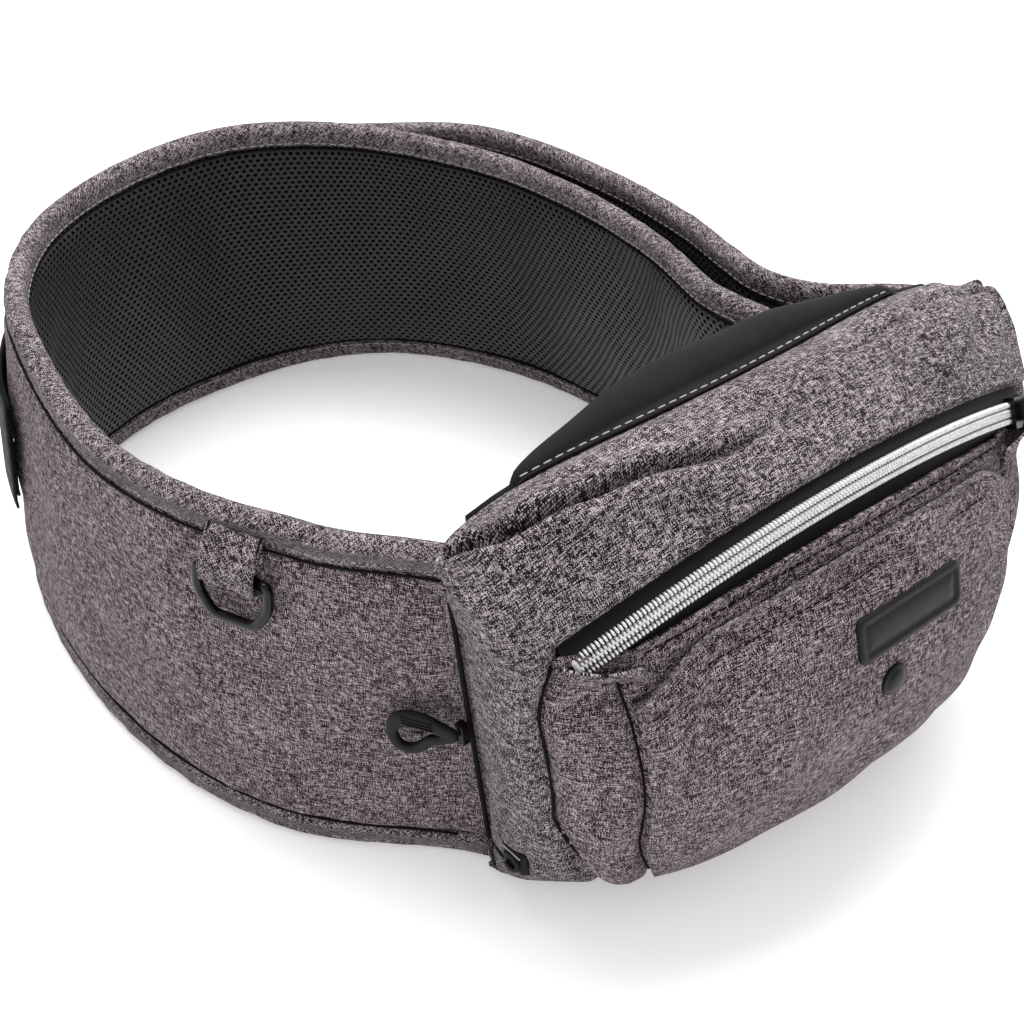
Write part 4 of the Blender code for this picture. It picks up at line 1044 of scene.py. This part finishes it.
def build_pocket():
    spans = np.linspace(-1, 1, 110)
    rises = np.linspace(0, 1, 66)
    count = (len(rises), len(spans))
    points, a, v = np.zeros((*count, 3)), np.zeros(count), np.zeros(count)
    for i, rise in enumerate(rises):
        for j, span in enumerate(spans):
            level = POCKET_LOW + (pocket_top(span * 0.77) - POCKET_LOW) * rise
            u = span * pocket_half(level)
            spot, _, _, normal = cover_frame(u, level)
            points[i, j], a[i, j], v[i, j] = spot + normal * pocket_lift(u, level), u, level
    spread = weave_flat(points, spans, rises * 5 + 4)
    top = np.array([[pocket_top(u) for u in row] for row in a])
    inner = smoothstep(0, 0.12, 0.768 - np.abs(a)) * smoothstep(0, 0.5, v - POCKET_LOW)
    push = 0.0013 * inner * ripple(spread[..., 0], spread[..., 1], 0.045, 14)
    push += 0.0006 * inner * ripple(spread[..., 0], spread[..., 1], 0.021, 15)
    push -= 0.0018 * np.exp(-((v - 5.30 + 0.9 * (a + 0.76)) / 0.09) ** 2) * (1 - smoothstep(-0.62, -0.42, a))
    calm = (smoothstep(-0.42, -0.24, a) * (1 - smoothstep(0.44, 0.62, a))
            * smoothstep(3.3, 3.9, v) * (1 - smoothstep(5.35, 5.6, v)))
    push = push * (1 - calm)
    push -= 0.0009 * np.exp(-((v - (top - 0.33)) / 0.045) ** 2)
    points += normals_of(points) * push[..., None]
    cloth_sheet("pocket_cloth", points, HEATHER_BAG, "pocket", ("pocket_front",), uvs=spread, thick=0.0013)
    mouth = [(u, pocket_top(u)) for u in np.linspace(-0.762, 0.762, 140)]
    edge, _ = surface_line((u, v, pocket_lift(u, v) - 0.0002) for u, v in mouth)
    line, out = surface_line((u, v - 0.33, pocket_lift(u, v - 0.33) - 0.0004) for u, v in mouth)
    tube("pocket_mouth_edge", edge, 0.0011, BIAS, "pocket", sides=8)
    stitches("pocket_mouth_stitches", line[3:-3], out[3:-3], DARK_THREAD, "pocket", length=0.0024, gap=0.0009)


def on_pocket(centre, x, y, lift):
    """A point x across and y up from a place on the pocket, lift above its cloth."""
    u0, v0 = centre
    step = 0.01
    du = x / np.linalg.norm(cover(u0 + step, v0) - cover(u0, v0)) * step
    dv = y / np.linalg.norm(cover(u0, v0 + step) - cover(u0, v0)) * step
    spot, _, _, normal = cover_frame(u0 + du, v0 + dv)
    return spot + normal * (pocket_lift(u0 + du, v0 + dv) + lift)


def rounded_outline(half_x, half_y, radius):
    points = []
    for quarter, (sx, sy) in enumerate(((1, -1), (1, 1), (-1, 1), (-1, -1))):
        for a in np.linspace(-90, 0, 7) + 90 * quarter:
            points.append((sx * (half_x - radius) + radius * math.cos(math.radians(a)),
                           sy * (half_y - radius) + radius * math.sin(math.radians(a))))
    return points


def build_patch():
    """A blank leather patch with a raised, bevelled border, sewn on the pocket."""
    centre = (0.095, line_at("belly", 0.94))
    half_x, half_y = 0.0250, 0.0080
    steps = [(0.0, -0.0008), (0.0, 0.0009), (0.0006, 0.0015), (0.0020, 0.0016), (0.0028, 0.0009),
             (0.0036, 0.0008), (0.0046, 0.0012), (0.0070, 0.0013)]
    rings = []
    for inset, lift in steps:
        outline = rounded_outline(half_x - inset, half_y - inset, max(0.0030 - inset * 0.5, 0.0008))
        rings.append([on_pocket(centre, x, y, lift) for x, y in outline])
    sides = len(rings[0])
    verts = [p for ring in rings for p in ring]
    faces = grid_faces(len(rings), sides, close_cols=True)
    faces.append(tuple(range(sides))[::-1])
    faces.append(tuple(range((len(rings) - 1) * sides, len(rings) * sides)))
    mesh = mesh_of("leather_patch", verts, faces)
    tidy_normals(mesh)
    add_piece("leather_patch", mesh, LEATHER, "pocket", ("blank_patch",))


def build_snap():
    """The snap's cap: a shallow dome with a rolled rim."""
    centre = (0.02, line_at("belly", 0.30))
    profile = [(0.0056, -0.0002), (0.0057, 0.0008), (0.0053, 0.0014), (0.0047, 0.0013), (0.0043, 0.0016),
               (0.0033, 0.0022), (0.0018, 0.0025), (0.0004, 0.0026)]
    turns = np.linspace(0, 2 * math.pi, 28, endpoint=False)
    rings = [[on_pocket(centre, r * math.cos(a), r * math.sin(a), h) for a in turns] for r, h in profile]
    swept("snap_dome", rings, PLASTIC, "pocket", ("snap_cap",))


# ---------------------------------------------------------------- bag zip
def zip_frame():
    end_y, end_z = ZIP_END
    middle = np.array([0, end_y - ZIP_BULGE, end_z + ZIP_RISE])
    rise = math.hypot(ZIP_RISE, ZIP_BULGE)
    radius = (ZIP_HALF_CHORD ** 2 + rise ** 2) / (2 * rise)
    outward = np.array([0, -ZIP_BULGE, ZIP_RISE]) / rise
    axis = np.cross(outward, (1, 0, 0))
    return middle - outward * radius, outward, np.array([1.0, 0, 0]), axis, radius


ZIP_CENTRE, ZIP_OUT, ZIP_RIGHT, ZIP_AXIS, ZIP_RADIUS = zip_frame()
ZIP_REACH = math.asin(ZIP_HALF_CHORD / ZIP_RADIUS)
ZIP_SETTLE = 0.0038
FLAP_LIFT = 0.0060


def zip_point(angle, across, above):
    """A point of the zip: angle round its arc, across its tape, and above its tape."""
    radial = ZIP_OUT * math.cos(angle) + ZIP_RIGHT * math.sin(angle)
    across = across - ZIP_SETTLE
    lift = 0.613 * across + 0.790 * above
    rise = 0.790 * across - 0.613 * above
    return ZIP_CENTRE + radial * (ZIP_RADIUS + lift) + ZIP_AXIS * rise


def build_tapes():
    """The two black tapes, from under the teeth to under the cloth on either side."""
    for sign, name in ((1, "upper"), (-1, "lower")):
        angles = np.linspace(-ZIP_REACH, ZIP_REACH, 110)
        shares = np.linspace(0, 1, 9)
        points = np.zeros((len(shares), len(angles), 3))
        for j, angle in enumerate(angles):
            inner = zip_point(angle, sign * 0.0004, TAPE_THICK)
            u = inner[0] / half_width(inner[2])
            level = COVER_HEM + 0.10 if sign > 0 else BAG_HEM - 0.10
            spot, _, _, normal = cover_frame(max(-0.985, min(0.985, u)), level)
            outer = spot - normal * 0.0012
            for i, share in enumerate(shares):
                points[i, j] = inner + (outer - inner) * share
                flat = zip_point(angle, sign * (0.0004 + 0.0052 * min(share * 2, 1)), TAPE_THICK)
                keep = 1 - smoothstep(0.3, 0.8, share)
                points[i, j] = points[i, j] * (1 - keep) + flat * keep if share < 0.8 else points[i, j]
        cloth_sheet(f"zip_{name}_tape_cloth", points, TAPE, "seat", (f"zip_{name}_tape",), thick=0.0009,
                    flip=sign < 0)


def build_teeth():
    """Each coil turn is a waisted bar; the two rows mesh along the middle."""
    start = -ZIP_REACH + 0.012
    end = ZIP_REACH - 0.012
    count = int((end - start) * ZIP_RADIUS / TOOTH_PITCH)
    profile = [(-0.00030, 0.44, 0.90), (0.0006, 0.50, 0.97), (0.0010, 0.46, 1.0), (0.0013, 0.12, 0.40),
               (0.0018, 0.12, 0.40), (0.0021, 0.42, 1.0), (0.0030, 0.42, 0.97), (TOOTH_REACH, 0.26, 0.55)]
    for sign, name in ((1, "upper"), (-1, "lower")):
        verts = []
        faces = []
        for k in range(count):
            shift = 0.25 if sign > 0 else -0.25
            angle = start + (k + 0.5 + shift) * (end - start) / count
            base = len(verts)
            for along, wide, tall in profile:
                half = wide * TOOTH_PITCH * 0.92 / ZIP_RADIUS
                top = TAPE_THICK + 0.0003 + 0.0021 * tall
                low = TAPE_THICK + 0.0002
                for turn, height in ((-half, low), (half, low), (half * 0.6, top), (-half * 0.6, top)):
                    verts.append(zip_point(angle + turn, sign * (along + 0.0001), height))
            for i in range(len(profile) - 1):
                for j in range(4):
                    m = (j + 1) % 4
                    here, after = base + i * 4, base + i * 4 + 4
                    faces.append((here + j, here + m, after + m, after + j))
            faces.append(tuple(range(base, base + 4))[::-1])
            last = base + 4 * (len(profile) - 1)
            faces.append(tuple(range(last, last + 4)))
        mesh = mesh_of(f"zip_{name}_coil", verts, faces)
        tidy_normals(mesh)
        add_piece(f"zip_{name}_coil", mesh, COIL, "seat", (f"zip_{name}_teeth",))


def build_zip_flaps():
    """A folded hem laid over each end of the zip, from the gusset's seam to the bag's front seam."""
    for sign, name in ((-1, "left"), (1, "right")):
        rows, cols = 12, 22
        flap = np.zeros((rows, cols, 3))
        for i, share in enumerate(np.linspace(0, 1, rows)):
            for j, along in enumerate(np.linspace(0, 1, cols)):
                u = sign * (0.920 - 0.205 * along - 0.010 * share)
                v = 6.98 - 0.92 * along - 0.50 * share * (1 - 0.45 * along)
                spot, _, _, normal = cover_frame(u, v)
                cover_zip = FLAP_LIFT * math.sin(math.pi * min(max(0.12 + 0.80 * along, 0), 1))
                lift = 0.0012 + cover_zip * (1 - share) ** 0.8 + 0.0006 * math.sin(math.pi * share)
                flap[i, j] = spot + normal * lift
        cloth_sheet(f"{name}_zip_flap", flap, BIAS, "seat", thick=0.0010, flip=sign > 0)


def build_zip_ends():
    """The stops at the zip's ends, and its slider and pull, moved with the settled zip."""
    for sign, name in ((-1, "left"), (1, "right")):
        angle = sign * (ZIP_REACH - 0.0095)
        rings = []
        for across in (-0.0042, -0.0036, 0.0036, 0.0042):
            size = 0.0005 if abs(across) > 0.004 else 0.0010
            ring = [zip_point(angle + size * math.cos(t) / ZIP_RADIUS, across,
                              TAPE_THICK + 0.0012 + size * math.sin(t))
                    for t in np.linspace(0, 2 * math.pi, 10, endpoint=False)]
            rings.append(ring)
        swept(f"zip_{name}_stop_bar", rings, COIL, "seat", (f"zip_{name}_stop",))
    for node, body in (("zip_slider", "zip_runner"), ("zip_pull", "zip_pull")):
        mesh = frame["nodes"][node].data.copy()
        corners = np.array([vertex.co[:] for vertex in mesh.vertices]) - SEAT_FRAME
        middle = corners.mean(axis=0)
        angle = math.atan2(middle[0], np.dot(middle - ZIP_CENTRE, ZIP_OUT))
        shift = zip_point(angle, 0, 0) - zip_point(angle, ZIP_SETTLE, 0)
        mesh.transform(Matrix.Translation(Vector(shift)))
        piece = add_piece(f"{node}_body", mesh, GLOSS, body, (node,))
        round_off = piece.modifiers.new("round", "BEVEL")
        round_off.width = 0.0004
        round_off.segments = 2


# ---------------------------------------------------------------- hardware on the belt
def belt_frame(path, arc, z, offset):
    height = z / belt_height(path, arc)
    spot = belt_point(path, arc, height, offset)
    slope = belt_point(path, arc, height + 0.1, 0) - belt_point(path, arc, height - 0.1, 0)
    x = np.array([*path.tangent(arc), 0.0])
    y = np.cross(slope, x)
    y = y / np.linalg.norm(y)
    return spot, x, y, np.cross(x, y)


def cad_half(height):
    return 0.0040 + 0.0028 * math.sin(math.pi * height) ** 0.6


def ring_corners():
    half = RING_WIDTH / 2 - RING_WIRE - 0.0010
    low = 2 * RING_WIRE - RING_DROP + 0.0038
    foot = half * 0.60
    corners = [(-half, 0.0), (-half, low * 0.52), (-foot, low), (foot, low), (half, low * 0.52), (half, 0.0)]
    radii = [0.0022, 0.0030, 0.0034, 0.0034, 0.0030, 0.0022]
    outline = []
    for i, radius in enumerate(radii):
        here = np.array(corners[i])
        before = np.array(corners[i - 1]) - here
        after = np.array(corners[(i + 1) % 6]) - here
        start = here + before / np.linalg.norm(before) * radius
        end = here + after / np.linalg.norm(after) * radius
        for t in np.linspace(0, 1, 7):
            outline.append((1 - t) ** 2 * start + 2 * t * (1 - t) * here + t ** 2 * end)
    return outline


def loop_rings(outline, frame_axes, widths, power):
    """Squarish sections round a closed outline that lies in the plane of a frame's x and z axes."""
    origin, x, y, z = frame_axes
    count = len(outline)
    rings = []
    for i, here in enumerate(outline):
        tangent = outline[(i + 1) % count] - outline[i - 1]
        tangent = tangent / np.linalg.norm(tangent)
        normal = np.array([-tangent[1], tangent[0]])
        ring = []
        for a in np.linspace(0, 2 * math.pi, 12, endpoint=False):
            c, s = math.cos(a), math.sin(a)
            flat = math.copysign(abs(c) ** power, c) * widths[i]
            deep = math.copysign(abs(s) ** power, s) * 0.0015
            plan = here + normal * flat
            ring.append(origin + x * plan[0] + z * plan[1] + y * deep)
        rings.append(ring)
    return rings


def build_ring(side, path, body, ring_body):
    share = RING_BAR_HEIGHT / belt_height(path, RING_ARC)
    spot, x, y, z = belt_frame(path, RING_ARC, RING_BAR_HEIGHT, cad_half(share) + RING_WIRE + 0.0021)
    out = np.array([*path.outward(RING_ARC), 0.0])
    y = y if np.dot(y, out) > 0 else -y
    spot = spot + x * path.side * 0.0015
    outline = ring_corners()
    rings = loop_rings(outline, (spot, x, y, z), [0.0017] * len(outline), 0.6)
    swept(f"{side}_ring_body", rings, GLOSS, ring_body, (f"{side}_d_ring",), closed=True)

    profile = [(-0.0040, 0.0150), (-0.0014, 0.0125), (0.0030, 0.0060), (0.0042, 0.0010), (0.0036, -0.0030),
               (0.0008, -0.0044), (-0.0020, -0.0032), (-0.0030, 0.0010), (-0.0032, 0.0070), (-0.0034, 0.0140)]
    profile = [np.array(p) for p in profile]
    samples = [catmull(profile, t) for t in np.linspace(0, len(profile) - 1, 40)]
    points = np.zeros((len(samples), 14, 3))
    for i, (out_by, up_by) in enumerate(samples):
        for j, across in enumerate(np.linspace(-1, 1, 14)):
            sag = 0.0005 * float(ripple(across * 0.02, i * 0.001, 0.012, 41))
            points[i, j] = spot + x * across * TAB_WIDTH / 2 + y * (out_by + sag) + z * up_by
    cloth_sheet(f"{side}_ring_loop", points, BIAS, body, (f"{side}_ring_tab",), thick=0.0010,
                flip=path.side < 0)
    for k, across in ((0, -0.46), (1, 0.46)):
        line = [spot + x * across * TAB_WIDTH + y * (0.0002 - 0.0040 * t) + z * (0.0095 + 0.0062 * t)
                for t in np.linspace(0, 1, 6)]
        tube(f"{side}_bar_tack_{k}", line, 0.00055, DARK_THREAD, body, sides=6)


def band(name, path, start, end, low, high, offset, look, body, replaces=(), thick=0.0014, upright_at=None):
    """A flat band along the belt, with a rounded-off edge and its weave along it."""
    count = max(int((end - start) / 0.004), 3)
    rows = 14
    points = np.zeros((rows, count, 3))
    uvs = np.zeros((rows, count, 2))
    for j, s in enumerate(np.linspace(start, end, count)):
        tall = belt_height(path, s)
        share = 1.0 if upright_at is None else smoothstep(0.0, 0.040, abs(s - upright_at))
        for i, z in enumerate(np.linspace(low, high, rows)):
            edge = min(z - low, high - z)
            lift = offset + thick - 0.0004 * math.exp(-edge / 0.0008)
            points[i, j] = belt_point(path, s, z / tall, lift, share)
            uvs[i, j] = (s, z)
    return cloth_sheet(name, points, look, body, replaces, thick=thick * 0.9, uvs=uvs, flip=path.side > 0)


STRAP_CLEAR = 0.0083


def build_straps():
    tip = LEFT.arc_where(lambda p: p[0] > RIGHT_WING_TIP_X and p[1] > 0)
    arc = tip - 0.1000
    mouth, socket, male, gap = 0.0090, 0.0300, 0.0150, 0.0015
    low, high = STRAP_HEIGHT - STRAP_WIDTH / 2, STRAP_HEIGHT + STRAP_WIDTH / 2
    first = LEFT.arc_where(lambda p: p[1] > 0.070 and p[0] < 0)
    band("left_strap_web", LEFT, first, arc + mouth - socket - gap, low, high, STRAP_CLEAR, WEBBING, "seat",
         ("left_strap",))
    band("left_strap_patch", LEFT, first - 0.004, first + 0.034, STRAP_HEIGHT - 0.0235, STRAP_HEIGHT + 0.0235,
         STRAP_CLEAR + STRAP_THICK + 0.0003, WEBBING, "seat", ("left_strap_anchor",), thick=0.0012)
    over = np.linspace(0.098, RIGHT.length, 8)
    outside = [RIGHT.point(s) + RIGHT.outward(s) * STRAP_CLEAR for s in over]
    bend = outside[-1] + RIGHT.tangent(RIGHT.length) * 0.0055
    beyond = arc + mouth + male + gap
    landing = [LEFT.point(s) + LEFT.outward(s) * (STRAP_CLEAR + lift) for s, lift in
               ((beyond + (tip - beyond) * 0.30, 0.0030), (beyond, 0.0012))]
    route = Path(outside + [bend] + landing, -1)
    fold = next(float(a) for a, p in zip(route.arc, route.dense) if np.linalg.norm(p - bend) < 1e-6)
    band("right_strap_web", route, 0.0, fold - 0.0002, low, high, 0.0, WEBBING, "right_wing",
         ("right_strap",), upright_at=fold)
    band("strap_tail_web", route, fold + 0.0002, route.length, low, high, 0.0, WEBBING, "strap_tail",
         ("strap_tail",), upright_at=fold)
    band("right_strap_patch", route, 0.0005, 0.034, STRAP_HEIGHT - 0.0235, STRAP_HEIGHT + 0.0235,
         STRAP_THICK + 0.0006, WEBBING, "right_wing", ("right_strap_anchor",), thick=0.0012)
    keeper = fold - 0.0620
    band("strap_keeper_loop", route, keeper, keeper + 0.018, STRAP_HEIGHT - 0.0225, STRAP_HEIGHT + 0.0225,
         STRAP_THICK + 0.0006, BLACK_CLOTH, "right_wing", ("strap_keeper",), thick=0.0012)
    outside_face = 0.0068 + 0.0009
    band("loop_field", LEFT, tip + 0.014, tip + 0.150, 0.022, 0.090, outside_face, BLACK_CLOTH, "seat",
         ("loop_patch",), thick=0.0010)
    band("hook_field", RIGHT, RIGHT.length - 0.110, RIGHT.length - 0.014, 0.024, 0.088,
         -outside_face - 0.0010, BLACK_CLOTH, "right_wing", ("hook_patch",), thick=0.0010)
    band("seam_tab_web", RIGHT, 0.020, 0.040, 0.096, 0.139, 0.0078, WEBBING, "right_wing",
         ("right_seam_tab",), thick=0.0013)


# ---------------------------------------------------------------- finger loop, bottom tab
def build_finger_loop():
    """The moulded finger loop: a rounded teardrop with a window and three ribs."""
    low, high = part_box("side_zip_slider")
    centre = (np.array(low) + np.array(high)) / 2 - SEAT_FRAME
    hinge = centre + np.array([-0.0036 * 0.9925, 0.0, -0.0036 * 0.1222])
    turned = math.radians(31.0)
    z = np.array([-0.1222, 0.0, 0.9925])
    x0 = np.array([0.0, 1.0, 0.0])
    y0 = np.cross(z, x0)
    x = x0 * math.cos(turned) + y0 * math.sin(turned)
    y = np.cross(z, x)
    body_line = [(0.0005, 0.0012), (0.0060, 0.0036), (0.0130, 0.0062), (0.0200, 0.0056),
                 (0.0250, 0.0018), (0.0264, -0.0034), (0.0242, -0.0080), (0.0192, -0.0090),
                 (0.0142, -0.0066), (0.0100, -0.0030), (0.0052, -0.0014)]
    body_line = [np.array([0.82 * p[0], p[1]]) for p in body_line]
    count = len(body_line)
    samples = [catmull(body_line + body_line[:3], t) for t in np.linspace(1, count + 1, 60, endpoint=False)]
    widths = [0.0019 + 0.0011 * smoothstep(-0.002, 0.005, here[1]) for here in samples]
    rings = loop_rings(samples, (hinge, x, y, z), widths, 0.7)
    swept("finger_loop", rings, RUBBER, "side_puller", ("side_puller",), closed=True)
    for k, lift in enumerate((-0.0012, 0.0002, 0.0016)):
        line = []
        for t in np.linspace(0.0065, 0.0170, 9):
            line.append(hinge + x * t + z * (0.0044 + lift + 0.12 * (t - 0.0065)) + y * 0.00155)
        for face, label in ((1, "out"), (-1, "in")):
            flipped = [p - y * 0.00155 + y * face * 0.00155 for p in line]
            tube(f"finger_rib_{k}_{label}", flipped, 0.00042, RUBBER, "side_puller", sides=6)


def build_side_zip():
    """The side zip: a thin dark coil in the seam between belt and seat, on a strip of the seat's cloth."""
    low, high = (np.array(corner) - SEAT_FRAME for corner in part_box("side_zip_tape"))
    middle = (low[1] + high[1]) / 2
    foot = np.array([high[0] - 0.0012, middle, low[2] + 0.0012])
    head = np.array([low[0] + 0.0012, middle, high[2] - 0.0012])
    line = [foot + (head - foot) * t for t in np.linspace(0, 1, 40)]
    tube("side_zip_coil", line, 0.0009, DARK_THREAD, "seat", ("side_zip_tape",))
    backing = np.array([[spot + np.array([0.0022, across, 0.0]) for across in np.linspace(-0.0065, 0.0065, 8)]
                        for spot in line])
    # the backing wears the seat's paler copy of the heather, painted light
    cloth_sheet("side_zip_backing", backing, HEATHER_SEAT_PAINTED_LIT, "seat", thick=0.0006)


def build_bottom_tab():
    """A folded webbing tab with a C-shaped loop and a pale line of stitches on it."""
    low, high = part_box("bottom_tab")
    low, high = np.array(low) - SEAT_FRAME, np.array(high) - SEAT_FRAME
    x = low[0] - 0.0002
    y0, y1, z0, z1 = low[1] - 0.0050, high[1] - 0.0070, low[2] + 0.0085, high[2] + 0.0075
    rings = []
    for inset, out in ((0.0, 0.0020), (0.0, 0.0), (0.0006, -0.0008), (0.0022, -0.0010)):
        outline = rounded_outline((y1 - y0) / 2 - inset, (z1 - z0) / 2 - inset, 0.0010)
        rings.append([np.array([x + out, (y0 + y1) / 2 + p, (z0 + z1) / 2 + q]) for p, q in outline])
    swept("bottom_web_tab", rings, RUBBER, "seat", ("bottom_tab",))
    middle = np.array([x - 0.0016, (y0 + y1) / 2, (z0 + z1) / 2])
    arc = [middle + np.array([0, 0.0036 * math.cos(a), 0.0032 * math.sin(a) - 0.0004])
           for a in np.linspace(math.radians(40), math.radians(320), 20)]
    tube("bottom_tab_loop", arc, 0.0009, RUBBER, "seat", sides=8)
    line = [np.array([x - 0.0014, y, z1 - 0.0012]) for y in np.linspace(y0 + 0.0010, y1 - 0.0010, 12)]
    tube("bottom_tab_thread", line, 0.00028, PALE_THREAD, "seat", sides=6)


# ---------------------------------------------------------------- carried CAD nodes
def dress_nodes():
    looks = {
        "buckle_socket": PLASTIC, "buckle_clasp": PLASTIC,
        "upper_release_prong": PLASTIC, "lower_release_prong": PLASTIC,
        "side_zip_slider": GLOSS,
    }
    for name, look in looks.items():
        node = frame["nodes"][name]
        node.data.materials.clear()
        node.data.materials.append(look)


# ---------------------------------------------------------------- stage, light and camera
TARGET = np.array([0.0320, 0.0030, 0.0]) + SEAT_FRAME
CAMERA_AZIMUTH = -40.0
CAMERA_ELEVATION = 38.0
CAMERA_DISTANCE = 0.82


def area_light(name, position, target, size, power):
    data = bpy.data.lights.new(name, "AREA")
    data.shape = "RECTANGLE"
    data.size, data.size_y = size
    data.energy = power
    lamp = bpy.data.objects.new(name, data)
    bpy.context.scene.collection.objects.link(lamp)
    lamp.location = position
    aim = Vector(target) - Vector(position)
    lamp.rotation_euler = aim.to_track_quat("-Z", "Y").to_euler()


def build_stage():
    bm = bmesh.new()
    bmesh.ops.create_grid(bm, x_segments=1, y_segments=1, size=6.0)
    mesh = bpy.data.meshes.new("floor")
    bm.to_mesh(mesh)
    bm.free()
    floor = bpy.data.objects.new("floor", mesh)
    bpy.context.scene.collection.objects.link(floor)
    floor.location.z = -0.0004
    paper = Nodes("studio_floor", roughness=0.9, specular=0.1)
    paper.colour((0.95, 0.95, 0.945, 1))
    paper.shader.inputs["Emission Color"].default_value = (1, 1, 0.99, 1)
    paper.shader.inputs["Emission Strength"].default_value = 0.30
    mesh.materials.append(paper.material)

    world = bpy.data.worlds.new("studio")
    bpy.context.scene.world = world
    world.use_nodes = True
    background = world.node_tree.nodes["Background"]
    background.inputs["Color"].default_value = (1.0, 1.0, 1.0, 1)
    background.inputs["Strength"].default_value = 0.74
    area_light("overhead", (0.15, 0.35, 1.5), (0.02, -0.02, 0.05), (1.2, 0.9), 25.0)
    area_light("front_left", (-1.3, -0.9, 0.9), (0, 0, 0.08), (0.9, 0.9), 2.0)
    area_light("right_rim", (1.2, 0.3, 0.9), (0.05, 0, 0.08), (0.7, 0.9), 7.0)


def build_camera():
    azimuth = math.radians(CAMERA_AZIMUTH)
    elevation = math.radians(CAMERA_ELEVATION)
    away = np.array([math.cos(elevation) * math.sin(azimuth), -math.cos(elevation) * math.cos(azimuth),
                     math.sin(elevation)])
    data = bpy.data.cameras.new("camera")
    data.lens = 67.5
    data.sensor_width = 36.0
    camera = bpy.data.objects.new("camera", data)
    bpy.context.scene.collection.objects.link(camera)
    camera.location = TARGET + away * CAMERA_DISTANCE
    aim = Vector(TARGET) - camera.location
    camera.rotation_euler = aim.to_track_quat("-Z", "Y").to_euler()
    bpy.context.scene.camera = camera
    bpy.context.scene.view_settings.view_transform = "Standard"


# ---------------------------------------------------------------- build
build_camera()
build_stage()
build_wing("left", LEFT, "seat", (0.0100, 0.0120))
build_wing("right", RIGHT, "right_wing", (0.0, 0.0))
build_seat()
build_strip()
build_back_panel()
build_bag()
build_pocket()
build_patch()
build_snap()
build_tapes()
build_teeth()
build_zip_flaps()
build_zip_ends()
build_ring("left", LEFT, "seat", "left_ring")
build_ring("right", RIGHT, "right_wing", "right_ring")
build_straps()
build_finger_loop()
build_side_zip()
build_bottom_tab()
dress_nodes()
